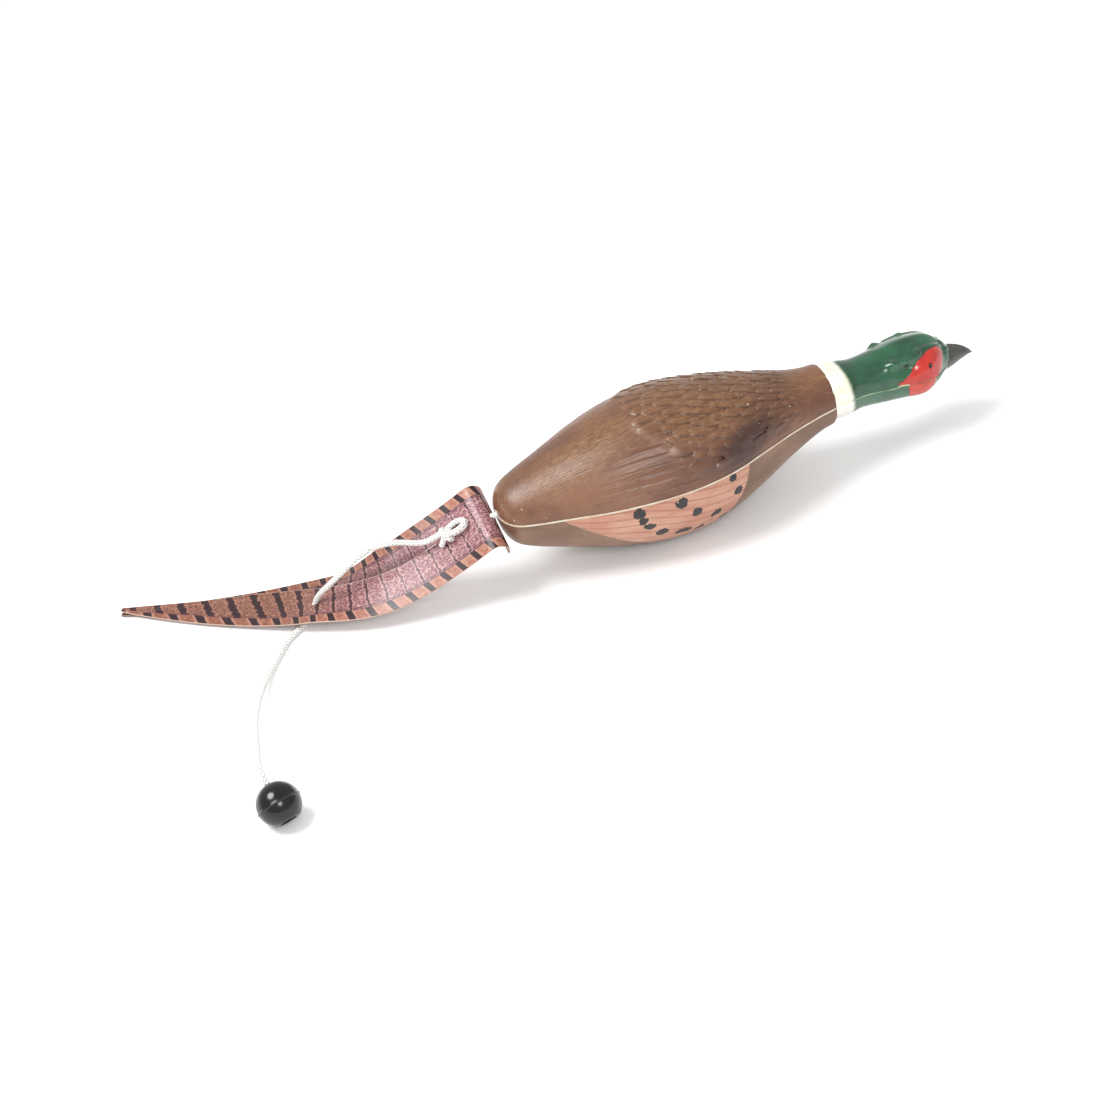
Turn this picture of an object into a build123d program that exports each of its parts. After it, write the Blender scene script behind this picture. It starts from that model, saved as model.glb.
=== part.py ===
from build123d import *
import math
import os

# Ring-necked pheasant retrieving dummy: foam body, loose hard head, slit tail strip
# and a throw cord with a ball.  Millimetres.  +X runs to the beak, +Y to the bird's
# left, +Z up.  The origin is the middle of the small flat on the belly.

# ---------------------------------------------------------------- driving dimensions
SEAM_Z = 60.0            # height of the parting plane of body and head
REAR_X = -135.0          # rear end of the body, where the cord leaves it
LIP_S = 254.6            # body length: rear end to the front lip round the neck

# body shape: distance from the rear end, half width, height above and below the seam
BODY_SHAPE = (
    (-0.4, 7.5, 6.5, 8.5),
    (1.2, 13.5, 12.0, 15.5),
    (6.0, 21.0, 18.0, 24.0),
    (16.0, 26.8, 22.8, 30.6),
    (40.0, 35.5, 30.5, 40.5),
    (70.0, 46.0, 39.5, 51.5),
    (100.0, 52.5, 46.5, 59.0),
    (130.0, 55.0, 48.5, 61.5),
    (160.0, 51.3, 44.0, 58.0),
    (190.0, 41.0, 37.5, 47.5),
    (215.0, 32.0, 30.0, 36.5),
    (240.0, 25.2, 24.0, 26.5),
    (LIP_S, 22.4, 22.4, 22.5),
)
BODY_CAP_STATIONS = (-0.4, 0.3, 1.2, 2.5, 4.0, 6.0, 8.5, 12.0, 16.0, 22.0)
BODY_STATION_STEP = 10.0

# head shape, in the head's own straight frame before it droops
COLLAR_R = 21.9
COLLAR_S = 262.0         # front of the round collar
HEAD_SHAPE = (
    (COLLAR_S, COLLAR_R, COLLAR_R, COLLAR_R),
    (270.0, 21.5, 21.4, 21.3),
    (281.0, 18.8, 19.0, 18.3),
    (300.0, 20.5, 21.5, 18.5),
    (316.0, 22.5, 24.5, 18.5),
    (329.0, 23.0, 25.0, 18.0),
    (338.0, 21.5, 24.0, 16.5),
    (347.0, 17.5, 19.0, 13.5),
    (354.0, 12.0, 12.5, 9.0),
    (358.0, 8.0, 9.0, 6.0),
)
HEAD_STATION_STEP = 4.0
BEAK_UPPER_SECTIONS = (
    (352.0, 6.2, 9.0),
    (358.0, 5.9, 8.8),
    (364.0, 4.8, 7.2),
    (370.0, 3.1, 4.6),
    (374.5, 1.6, 2.3),
    (376.5, 0.6, 0.8),
)
BEAK_LOWER_SECTIONS = (
    (352.0, 5.8, 3.4),
    (362.0, 4.8, 3.0),
    (370.0, 2.6, 2.0),
    (374.5, 0.8, 0.7),
)
HEAD_DROOP = 5.0         # how far the beak hangs below the body's axis at rest, degrees

NECK_PIVOT_S = LIP_S + 10.0
SOCKET_GAP = 0.15        # play between the neck's dome and the body's socket
SEAM_PROUD = 0.9         # how far the moulded bead stands out
SEAM_HALF = 0.6          # half the bead's thickness
SEAM_DEPTH = 1.2         # how far the bead is let in between the halves

FAR_OUT = 200.0          # size of a cutting block that reaches past the part

CORD_R = 2.1
CORD_PLAY = 0.35         # play of the cord in a hole
LINK_GAP = 0.15          # free space between two links of the cord
LINER_R = 3.5            # plastic tube that lines the cord channel
LINER_PLAY = 0.03
LINER_PROUD = 1.5        # how far the liner stands out of the rear end

NECK_LINK_HALF = 6.0     # half length of the free piece of cord inside the neck
NECK_LINK_ROOM = 2.6
HEAD_SWING = 25.0        # cone that the cord may sweep inside the neck, degrees
THROAT_INSET = 4.0       # how far in front of the dome's rear the cone opens past its full depth
THROAT_PLAY = 3.0        # room round the cord at the narrow end of the cone
ANCHOR_S = 314.0         # rear wall of the anchor chamber in the head
ANCHOR_LENGTH = 17.0
ANCHOR_R = 9.5
WASHER_R = 8.0
WASHER_T = 1.6
ANCHOR_KNOT = (5.5, 5.0, 5.0)

EYE_S = 331.5
EYE_Y = 20.7
EYE_Z = 10.0
EYE_R = 1.9

SHEET_T = 1.0            # thickness of the tail strip
STRIP_W = 53.0           # full width of the tail strip
TIP_W = 4.0
ROOT_BANK = 27.0         # roll of the strip where it hangs on the cord, degrees
TAIL_YAW = 30.0          # how far the trailing end of the strip is turned, degrees
HOLE_PLAY = 0.6
SLANT_PLAY = 1.6         # play in the near feather's hole, which the cord passes at a slant
HOLE_PUNCH = 8.0         # length of the tool that punches the strip's holes
SLIT_GAP = 0.5
FAR_DROP = 1.7           # how far the far feather lies under the near one

BALL_R = 15.0
BALL_FLAT = 12.5         # distance of the ball's flat face from its centre
RECESS_R = 5.8
RECESS_DEPTH = 6.0
FLASH_R = 15.6
FLASH_HALF = 0.5
BALL_KNOT = (4.9, 4.9, 2.7)


def rear(s, y, z):
    """Point given by its distance from the body's rear end, side and height over the seam."""
    return Vector(REAR_X + s, y, SEAM_Z + z)


def root_point(s, rise):
    """Point of the strip's root, which bends about an axis banked by ROOT_BANK."""
    bank = math.radians(ROOT_BANK)
    return rear(s, -rise * math.sin(bank), rise * math.cos(bank))


# tail strip centre line, from its front edge over the arch to the tip
TAIL_PATH = (
    root_point(-2.8, -11.0),
    root_point(-5.0, 0.0),
    root_point(-11.0, 4.0),
    root_point(-21.0, -1.0),
    root_point(-36.0, -11.5),
    root_point(-52.0, -21.0),
    rear(-90.0, 21.5, -34.5),
    rear(-140.0, 53.0, -51.5),
    rear(-195.0, 86.0, -57.0),
    rear(-262.6, 129.4, -57.0),
)
TAIL_PIVOT = TAIL_PATH[1]
KNOT_RING_R = 5.4        # tail knot: a round turn of the cord
KNOT_TUBE_R = 3.1
REAR_CORD_DIP = (rear(-13.0, 0.5, -5.5), rear(-20.0, 1.5, -13.0))
REAR_CORD_LIFTS = (-7.0, -2.45, 1.35, 4.5)   # heights of the cord's points in the strip's rear hole
ARC_POINTS = (
    rear(-49.5, 9.5, -9.6),
    rear(-68.0, 17.0, -6.5),
    rear(-90.0, 24.5, -8.0),
    rear(-111.0, 30.0, -21.0),
    rear(-126.0, 37.5, -35.5),
    rear(-133.0, 42.6, -44.8),
)
UNDER_POINTS = (rear(-141.0, 42.0, -56.4), rear(-148.0, 36.0, -57.6))
DROP_POINTS = (rear(-169.7, 16.8, -57.8), rear(-182.9, -0.6, -57.2))
END_POINTS = (rear(-205.8, -53.8, -46.0), rear(-212.3, -81.6, -38.0), rear(-218.0, -112.3, -31.0))
SWING_PIVOT = rear(-156.0, 30.5, -57.7)
LIFT_PIVOT = rear(-198.8, -32.1, -52.0)
BALL_CENTRE = rear(-218.1, -152.3, -44.9)
BALL_AXIS = Vector(-0.158, 0.744, 0.650).normalized()

PATH = Spline(*TAIL_PATH)
STRIP_LENGTH = PATH.length
SLIT_S = 60.0            # strip coordinate where the slit starts
HOLE_REAR_S = 44.0       # strip coordinate of the hole under the tail knot
HOLE_REAR_V = 2.5
HOLE_NEAR_S = 163.0      # strip coordinate of the hole in the near feather
HOLE_NEAR_V = -5.0
TAPER_S = 165.0          # strip coordinate where the taper starts
TAPER_POWER = 1.3
ROOT_STEP = 2.5          # spacing of the root's sections
FEATHER_STATIONS = (75, 95, 120, 145, 170, 195, 220, 250, 285)


# ---------------------------------------------------------------- body and head shells
def slope(table, i, column):
    """Slope of a table column at row i, from its neighbours."""
    low = max(i - 1, 0)
    high = min(i + 1, len(table) - 1)
    return (table[high][column] - table[low][column]) / (table[high][0] - table[low][0])


def shape_at(table, s):
    """Smooth cubic curves through the rows of a shape table, evaluated at s."""
    i = 0
    while i < len(table) - 2 and s > table[i + 1][0]:
        i += 1
    span = table[i + 1][0] - table[i][0]
    t = (s - table[i][0]) / span
    values = [s]
    for column in range(1, len(table[0])):
        start, end = table[i][column], table[i + 1][column]
        value = (2 * t ** 3 - 3 * t ** 2 + 1) * start + (3 * t ** 2 - 2 * t ** 3) * end
        value += (t ** 3 - 2 * t ** 2 + t) * span * slope(table, i, column)
        value += (t ** 3 - t ** 2) * span * slope(table, i + 1, column)
        values.append(value)
    return values


def stations(start, end, step):
    """Evenly spaced stations from start to end, both included."""
    count = max(1, round((end - start) / step))
    return [start + (end - start) * i / count for i in range(count + 1)]


BODY_SECTIONS = [shape_at(BODY_SHAPE, s) for s in BODY_CAP_STATIONS]
BODY_SECTIONS += [shape_at(BODY_SHAPE, s) for s in stations(30.0, LIP_S, BODY_STATION_STEP)]
HEAD_SECTIONS = [shape_at(HEAD_SHAPE, s) for s in stations(COLLAR_S, HEAD_SHAPE[-1][0], HEAD_STATION_STEP)]


def half_section(s, half_width, height, side):
    """Half ellipse on the seam plane: side +1 above it, -1 below it."""
    start = 0 if side > 0 else 180
    arc = EllipticalCenterArc((0, 0), half_width, height, start_angle=start, arc_size=180)
    outline = make_face([arc.edge(), Line(arc @ 1, arc @ 0).edge()])
    plane = Plane(origin=(REAR_X + s, 0, SEAM_Z), x_dir=(0, 1, 0), z_dir=(1, 0, 0))
    return plane * outline


def half_shell(sections, side):
    """Skin one half of a shell over sections of (distance, half width, top, bottom)."""
    faces = []
    for s, half_width, top, bottom in sections:
        height = top if side > 0 else bottom
        faces.append(half_section(s, half_width, height, side))
    return loft(faces, ruled=True)


def seam_outline(sections, grow):
    """Outline of a shell on the seam plane, grown or shrunk all round but at the front."""
    left = []
    for s, half_width, _, _ in sections:
        ease = max(0.0, 1 - (s - sections[0][0]) / 20)
        left.append((REAR_X + s - grow * ease, half_width + grow))
    right = [(x, -y) for x, y in reversed(left)]
    return make_face(Polyline(*left, *right, close=True))


def seam_bead(sections, proud):
    """Bead along both sides and the rear of a shell, let in between its halves."""
    outer = extrude(seam_outline(sections, proud), SEAM_HALF, both=True)
    inner = extrude(seam_outline(sections, -SEAM_DEPTH), 2 * SEAM_HALF, both=True)
    return Pos(0, 0, SEAM_Z) * (outer - inner)


def along_x(radius, s0, s1):
    """Round bar on the body's axis between two distances from the rear end."""
    middle = rear((s0 + s1) / 2, 0, 0)
    return Pos(*middle) * Rot(0, 90, 0) * Cylinder(radius, abs(s1 - s0))


NECK_PIVOT = rear(NECK_PIVOT_S, 0, 0)
DOME_R = math.hypot(NECK_PIVOT_S - LIP_S, COLLAR_R)
CHANNEL_FRONT_S = NECK_PIVOT_S - DOME_R


def droop(shape):
    """Hang the head a little about the neck pivot."""
    return Pos(*NECK_PIVOT) * Rot(0, HEAD_DROOP, 0) * Pos(*(NECK_PIVOT * -1)) * shape


def body_parts():
    """Two bonded foam halves, the bead along their seam, the liner and the cord in it."""
    socket = Pos(*NECK_PIVOT) * Sphere(DOME_R + SOCKET_GAP)
    channel = along_x(LINER_R + LINER_PLAY, -FAR_OUT, CHANNEL_FRONT_S)
    under_floor = Pos(0, 0, -FAR_OUT / 2) * Box(2 * FAR_OUT, FAR_OUT, FAR_OUT)
    bead = seam_bead(BODY_SECTIONS, SEAM_PROUD) - socket - channel
    upper = half_shell(BODY_SECTIONS, 1) - socket - channel - bead
    lower = half_shell(BODY_SECTIONS, -1) - socket - channel - bead - under_floor
    liner = along_x(LINER_R, -LINER_PROUD, CHANNEL_FRONT_S - 1)
    liner = liner - along_x(CORD_R + CORD_PLAY, -FAR_OUT, LIP_S)
    cord_rear = TAIL_PIVOT.X - REAR_X + CORD_R + LINK_GAP
    cord_front = NECK_PIVOT_S - NECK_LINK_HALF - NECK_LINK_ROOM
    cord = along_x(CORD_R, cord_rear, cord_front)
    return {
        "body_upper": upper,
        "body_lower": lower,
        "body_seam": bead,
        "cord_liner": liner,
        "main_cord": cord,
    }


def neck_parts():
    """Short free piece of the cord at the neck's pivot."""
    link = along_x(CORD_R, NECK_PIVOT_S - NECK_LINK_HALF + CORD_R, NECK_PIVOT_S + NECK_LINK_HALF - CORD_R)
    for side in (-1, 1):
        link = link + Pos(*rear(NECK_PIVOT_S + side * (NECK_LINK_HALF - CORD_R), 0, 0)) * Sphere(CORD_R)
    return {"neck_cord": link}


def neck_cavity():
    """Room inside the dome for the cord when the head swings."""
    depth = DOME_R + THROAT_INSET
    throat_r = CORD_R + THROAT_PLAY
    mouth_r = throat_r + depth * math.tan(math.radians(HEAD_SWING))
    cone = Cone(mouth_r, throat_r, depth)
    cone = Pos(*rear(NECK_PIVOT_S - depth / 2, 0, 0)) * Rot(0, 90, 0) * cone
    return cone + Pos(*NECK_PIVOT) * Sphere(NECK_LINK_HALF + NECK_LINK_ROOM)


def neck_dome():
    """Round back of the neck: a dome that fits the body's socket, and the collar."""
    dome_rear = (-DOME_R, 0)
    lip = (LIP_S - NECK_PIVOT_S, COLLAR_R)
    collar = (COLLAR_S - NECK_PIVOT_S, COLLAR_R)
    axis_front = (COLLAR_S - NECK_PIVOT_S, 0)
    half_angle = math.radians(90) + math.atan2(-lip[0], lip[1])
    middle_angle = (math.pi + half_angle) / 2
    middle = (DOME_R * math.cos(middle_angle), DOME_R * math.sin(middle_angle))
    edges = [
        ThreePointArc(dome_rear, middle, lip).edge(),
        Line(lip, collar).edge(),
        Line(collar, axis_front).edge(),
        Line(axis_front, dome_rear).edge(),
    ]
    return Pos(*NECK_PIVOT) * revolve(make_face(edges), Axis.X)


def beak(sections, side):
    """One half of the beak, side +1 above the mouth line and -1 below it."""
    return loft([half_section(s, w, h, side) for s, w, h in sections])


def head_parts():
    """Hard two-piece head with beak, bead, eyes and the knotted end of the cord inside."""
    dome = neck_dome()
    bore = along_x(CORD_R + CORD_PLAY, NECK_PIVOT_S, ANCHOR_S + 1)
    chamber = along_x(ANCHOR_R, ANCHOR_S, ANCHOR_S + ANCHOR_LENGTH)
    hollow = neck_cavity() + bore + chamber
    beaks = {"upper": beak(BEAK_UPPER_SECTIONS, 1), "lower": beak(BEAK_LOWER_SECTIONS, -1)}
    eyes = [Pos(*rear(EYE_S, side * EYE_Y, EYE_Z)) * Sphere(EYE_R) for side in (1, -1)]
    bead = seam_bead(HEAD_SECTIONS[:-1], SEAM_PROUD * 0.7) - beaks["upper"] - beaks["lower"]
    bead = bead - along_x(COLLAR_R - 2 * SEAM_DEPTH, COLLAR_S - 5, COLLAR_S + 5)
    halves = {}
    for side, name in ((1, "upper"), (-1, "lower")):
        half_space = Pos(*rear(NECK_PIVOT_S, 0, side * FAR_OUT / 2)) * Box(FAR_OUT, FAR_OUT, FAR_OUT)
        skull = half_shell(HEAD_SECTIONS, side) + (dome & half_space)
        halves[name] = skull - hollow - beaks[name] - bead
    for eye in eyes:
        halves["upper"] = halves["upper"] - eye
    cord = along_x(CORD_R, NECK_PIVOT_S + NECK_LINK_HALF + NECK_LINK_ROOM, ANCHOR_S + WASHER_T)
    washer = along_x(WASHER_R, ANCHOR_S, ANCHOR_S + WASHER_T)
    washer = washer - along_x(CORD_R, ANCHOR_S - 5, ANCHOR_S + 5)
    knot = scale(Sphere(1), by=ANCHOR_KNOT)
    knot = Pos(*rear(ANCHOR_S + WASHER_T + ANCHOR_KNOT[0], 0, 0)) * knot
    parts = {
        "head_upper": halves["upper"],
        "head_lower": halves["lower"],
        "head_seam": bead,
        "beak_upper": beaks["upper"],
        "beak_lower": beaks["lower"],
        "eyes": Compound(children=eyes),
        "head_cord": cord,
        "anchor_washer": washer,
        "anchor_knot": knot,
    }
    return {name: droop(shape) for name, shape in parts.items()}


# ---------------------------------------------------------------- tail strip
def smooth(value, low, high):
    """0 below low, 1 above high, and a soft step between."""
    t = min(max((value - low) / (high - low), 0.0), 1.0)
    return t * t * (3 - 2 * t)


def strip_width(s):
    """Full width of the strip: straight, then drawn in to a narrow tip."""
    t = min(max((s - TAPER_S) / (STRIP_LENGTH - TAPER_S), 0.0), 1.0)
    return TIP_W + (STRIP_W - TIP_W) * (1 - t ** TAPER_POWER)


def strip_axes(s):
    """Centre point, sideways, forward and normal directions of the strip at s."""
    centre = PATH.position_at(s, position_mode=PositionMode.LENGTH)
    forward = PATH.tangent_at(s, position_mode=PositionMode.LENGTH)
    bank = math.radians(ROOT_BANK * (1 - smooth(s, 95, 165)))
    yaw = math.radians(TAIL_YAW * smooth(s, 70, 165))
    side = Vector(math.sin(yaw) * math.cos(bank), math.cos(yaw) * math.cos(bank), math.sin(bank))
    side = (side - forward * side.dot(forward)).normalized()
    return centre, side, forward, side.cross(forward)


def strip_point(s, v, lift):
    """Point on the strip: v towards the far side, lift above the sheet's middle."""
    centre, side, _, normal = strip_axes(s)
    return centre + side * v + normal * lift


def strip_sheet(places, edges, lift, ruled=False):
    """Thin sheet lofted along the strip between two edge laws."""
    faces = []
    for s in places:
        low, high = edges(s)
        _, side, forward, _ = strip_axes(s)
        plane = Plane(origin=strip_point(s, (low + high) / 2, lift(s)), x_dir=side, z_dir=forward)
        faces.append(plane * Rectangle(high - low, SHEET_T))
    return loft(faces, ruled=ruled)


def strip_hole(s, v, radius):
    """Round punch through the sheet."""
    _, side, _, normal = strip_axes(s)
    return Plane(origin=strip_point(s, v, 0), x_dir=side, z_dir=normal) * Cylinder(radius, HOLE_PUNCH)


def slit_edge(s):
    """Sideways place of the slit, which runs out towards the far side."""
    spread = 3.5 + 10.5 * smooth(s, 90, 215)
    return min(spread, strip_width(s) / 2 - 0.5)


def full_edges(s):
    return -strip_width(s) / 2, strip_width(s) / 2


def near_edges(s):
    return -strip_width(s) / 2, slit_edge(s)


def far_edges(s):
    half = strip_width(s) / 2
    width = 22.5 * (1 - smooth(s, 190, STRIP_LENGTH + 60) * 0.95)
    inner = max(half - width, SLIT_GAP + 3.5 - 8 * smooth(s, 110, 230))
    return min(inner, half - 3.0), half


def far_drop(s):
    """The far feather slips under the near one behind the start of the slit."""
    return -FAR_DROP * smooth(s, SLIT_S + 5, SLIT_S + 35)


def level(s):
    return 0.0


def swept_cord(points, start_ball=False, tangents=None):
    """Round cord along a smooth line, with a rounded start where it hangs in a pivot."""
    path = Spline(*points, tangents=tangents) if tangents else Spline(*points)
    profile = Plane(origin=path @ 0, z_dir=path % 0) * Circle(CORD_R)
    cord = sweep(profile, path=path)
    if start_ball:
        cord = cord + Pos(*(path @ 0)) * Sphere(CORD_R)
    return cord


def tail_parts():
    """Arched root of the strip, the cord that holds it and the knot on top."""
    root = strip_sheet(stations(0.0, SLIT_S, ROOT_STEP), full_edges, level, ruled=True)
    pivot_hole = Pos(*TAIL_PIVOT) * Rot(0, 90, 0) * Cylinder(CORD_R + HOLE_PLAY, HOLE_PUNCH)
    knot_hole = strip_hole(HOLE_REAR_S, HOLE_REAR_V, CORD_R + HOLE_PLAY)
    root = root - pivot_hole - knot_hole
    upright = [strip_point(HOLE_REAR_S, HOLE_REAR_V, lift) for lift in REAR_CORD_LIFTS]
    cord = swept_cord((TAIL_PIVOT, *REAR_CORD_DIP, *upright), start_ball=True)
    _, side, _, normal = strip_axes(HOLE_REAR_S)
    lift = SHEET_T / 2 + KNOT_TUBE_R + 0.2
    knot_plane = Plane(origin=strip_point(HOLE_REAR_S, HOLE_REAR_V, lift), x_dir=side, z_dir=normal)
    knot = knot_plane * Torus(KNOT_RING_R, KNOT_TUBE_R)
    return {"tail_root": root, "rear_cord": cord, "tail_knot": knot}


def feather_parts():
    """The two feathers behind the slit and the arc of cord that ends in the near one."""
    start = SLIT_S + SLIT_GAP
    end = STRIP_LENGTH
    places = [start, *FEATHER_STATIONS, end]
    near = strip_sheet(places, near_edges, level)
    far = strip_sheet(places, far_edges, far_drop)
    near = near - strip_hole(HOLE_NEAR_S, HOLE_NEAR_V, CORD_R + SLANT_PLAY)
    out = (SWING_PIVOT - UNDER_POINTS[-1]).normalized()
    arc_end = SWING_PIVOT - out * (CORD_R + LINK_GAP)
    through = strip_point(HOLE_NEAR_S, HOLE_NEAR_V, 0)
    arc = swept_cord((*ARC_POINTS, through, *UNDER_POINTS, arc_end))
    return {"tail_feather_near": near, "tail_feather_far": far, "cord_arc": arc}


def throw_parts():
    """Two free lengths of cord, the stop knot and the throwing ball."""
    drop_to = LIFT_PIVOT + (SWING_PIVOT - LIFT_PIVOT).normalized() * (CORD_R + LINK_GAP)
    drop = swept_cord((SWING_PIVOT, *DROP_POINTS, drop_to), start_ball=True)
    mouth = BALL_CENTRE + BALL_AXIS * (BALL_R + 6)
    inner = BALL_CENTRE - BALL_AXIS * (BALL_FLAT - RECESS_DEPTH + 1.5)
    run = (LIFT_PIVOT, *END_POINTS, mouth)
    start = (run[1] - run[0]).normalized()
    free_end = swept_cord(run, start_ball=True, tangents=(start, BALL_AXIS * -1))
    straight = Line(mouth, inner)
    free_end = free_end + sweep(Plane(origin=mouth, z_dir=BALL_AXIS * -1) * Circle(CORD_R), path=straight)
    ball_plane = Plane(origin=BALL_CENTRE, z_dir=BALL_AXIS)
    ball = Sphere(BALL_R) + Cylinder(FLASH_R, 2 * FLASH_HALF)
    ball = ball - Pos(0, 0, -BALL_FLAT - 10) * Cylinder(BALL_R, 20)
    ball = ball - Cylinder(CORD_R + 0.8, 4 * BALL_R)
    ball = ball - Pos(0, 0, -BALL_FLAT) * Cylinder(RECESS_R, 2 * RECESS_DEPTH)
    knot_z = -BALL_FLAT + RECESS_DEPTH - BALL_KNOT[2] - 0.3
    knot = Pos(0, 0, knot_z) * scale(Sphere(1), by=BALL_KNOT)
    knot = ball_plane * knot - free_end
    return {"cord_drop": drop, "cord_end": free_end, "throw_ball": ball_plane * ball, "ball_knot": knot}


def main():
    os.makedirs("parts", exist_ok=True)
    parts = {}
    for group in (body_parts, neck_parts, head_parts, tail_parts, feather_parts, throw_parts):
        parts.update(group())
    for name, shape in parts.items():
        export_step(shape, f"parts/{name}.step")
    print(len(parts), "nodes, strip length", round(STRIP_LENGTH, 1))


main()
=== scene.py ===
"""Looks of a ring-necked pheasant retrieving dummy: painted foam body, glossy head,
printed tail strip, braided cord and throw ball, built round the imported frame."""

import math

import bmesh
import bpy
import numpy as np
from mathutils import Matrix, Vector


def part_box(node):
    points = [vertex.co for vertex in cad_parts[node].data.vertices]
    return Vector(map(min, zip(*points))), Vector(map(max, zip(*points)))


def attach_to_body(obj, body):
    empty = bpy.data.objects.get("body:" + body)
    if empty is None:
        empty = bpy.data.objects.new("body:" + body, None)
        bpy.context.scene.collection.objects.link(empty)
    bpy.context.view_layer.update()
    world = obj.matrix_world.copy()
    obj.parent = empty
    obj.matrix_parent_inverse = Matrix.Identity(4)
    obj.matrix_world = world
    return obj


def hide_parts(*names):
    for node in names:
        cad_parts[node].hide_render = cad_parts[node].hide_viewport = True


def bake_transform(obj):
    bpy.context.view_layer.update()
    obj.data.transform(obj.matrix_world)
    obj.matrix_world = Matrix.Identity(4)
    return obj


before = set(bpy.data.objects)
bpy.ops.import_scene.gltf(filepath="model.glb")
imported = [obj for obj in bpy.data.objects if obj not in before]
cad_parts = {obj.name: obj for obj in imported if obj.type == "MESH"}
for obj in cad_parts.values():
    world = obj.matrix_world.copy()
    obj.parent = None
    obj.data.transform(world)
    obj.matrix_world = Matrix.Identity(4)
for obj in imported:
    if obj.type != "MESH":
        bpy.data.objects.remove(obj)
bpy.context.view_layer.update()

MM = 0.001               # lengths below are millimetres, Blender's are metres
CAP_S = -0.4             # where the small cap that closes the body's rear end starts
CAP_BULGE = 0.5          # how far the cap bulges out from there
ROUND_S = 22.0           # stations are crowded up to here, round the blunt rear end
UPPER_LOW, UPPER_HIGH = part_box("body_upper")
REAR_X = UPPER_LOW.x / MM - CAP_S         # stations are counted from here towards the beak
SEAM_Z = UPPER_LOW.z / MM                 # parting plane of body and head
LIP_S = UPPER_HIGH.x / MM - REAR_X        # front lip of the body, round the neck's socket


# ---- shape tables
# distance from the rear end, half width, height above and below the seam
BODY_SHAPE = np.array([
    (CAP_S, 7.5, 6.5, 8.5),
    (1.2, 13.5, 12.0, 15.5),
    (6.0, 21.0, 18.0, 24.0),
    (16.0, 26.8, 22.8, 30.6),
    (40.0, 35.5, 30.5, 40.5),
    (70.0, 46.0, 39.5, 51.5),
    (100.0, 52.5, 46.5, 59.0),
    (130.0, 55.0, 48.5, 61.5),
    (160.0, 51.3, 44.0, 58.0),
    (190.0, 41.0, 37.5, 47.5),
    (215.0, 32.0, 30.0, 36.5),
    (240.0, 25.2, 24.0, 26.5),
    (254.6, 22.4, 22.4, 22.5),
])
HEAD_SHAPE = np.array([
    (262.0, 21.1, 20.9, 21.4),
    (270.0, 20.2, 20.0, 20.8),
    (281.0, 18.6, 18.9, 18.3),
    (300.0, 20.5, 21.5, 18.5),
    (316.0, 22.5, 24.5, 18.5),
    (329.0, 23.0, 25.0, 18.0),
    (338.0, 20.4, 23.6, 14.8),
    (347.0, 13.8, 18.4, 9.0),
    (354.0, 8.8, 12.4, 5.6),
    (358.0, 6.0, 9.0, 4.2),
])
NECK_DEPTH = 10.0        # from the body's lip forward to the neck's pivot
NECK_PIVOT_S = LIP_S + NECK_DEPTH
COLLAR_R = 21.9          # radius of the white collar at the body's lip
COLLAR_S = 262.0         # where the straight collar ends and the skull's sections start
DOME_R = math.hypot(NECK_DEPTH, COLLAR_R)     # ball-shaped end of the neck
SOCKET_R = DOME_R + 0.12
HEAD_DROOP = math.radians(5.0)       # the loose head hangs by this much


def rear(s, y, z):
    """Point from its distance ahead of the rear end, its side and height over the seam."""
    return np.array([REAR_X + s, y, SEAM_Z + z], float)


def smooth(value, low, high):
    """0 below low, 1 above high, and a soft step between."""
    t = np.clip((np.asarray(value, float) - low) / (high - low), 0.0, 1.0)
    return t * t * (3 - 2 * t)


def fade(value, low, high):
    """1 below low, 0 above high, and a soft step between."""
    return 1 - smooth(value, low, high)


def band(value, a, b, c, d):
    """Rises softly from a to b and falls softly from c to d."""
    return smooth(value, a, b) * fade(value, c, d)


def hermite(t, span, start, end, slope_in, slope_out):
    """Cubic curve at share t of a span, from its end values and slopes."""
    value = (2 * t ** 3 - 3 * t ** 2 + 1) * start + (3 * t ** 2 - 2 * t ** 3) * end
    return value + ((t ** 3 - 2 * t ** 2 + t) * span * slope_in + (t ** 3 - t ** 2) * span * slope_out)


def shape_at(table, s):
    """Smooth cubic curves through the rows of a shape table: one row of values per s."""
    x = table[:, 0]
    last = len(x) - 1
    low = np.maximum(np.arange(len(x)) - 1, 0)
    high = np.minimum(np.arange(len(x)) + 1, last)
    slopes = (table[high, 1:] - table[low, 1:]) / (x[high] - x[low])[:, None]
    i = np.clip(np.searchsorted(x, s, "right") - 1, 0, last - 1)
    span = (x[i + 1] - x[i])[:, None]
    t = (s - x[i])[:, None] / span
    return hermite(t, span, table[i, 1:], table[i + 1, 1:], slopes[i], slopes[i + 1])


def random01(a, b, seed):
    """Repeatable random number from 0 to 1 for each pair of whole numbers."""
    x = np.sin(a * 127.1 + b * 311.7 + seed * 74.7) * 43758.5453
    return x - np.floor(x)


def ripple(a, b, seed=0.0):
    """Gentle uneven field between about -1 and 1."""
    total = np.sin(a + 1.7 * np.sin(0.6 * b + seed)) + np.sin(0.73 * b - 1.3 * np.sin(0.8 * a + 2 * seed))
    return 0.5 * total


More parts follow.
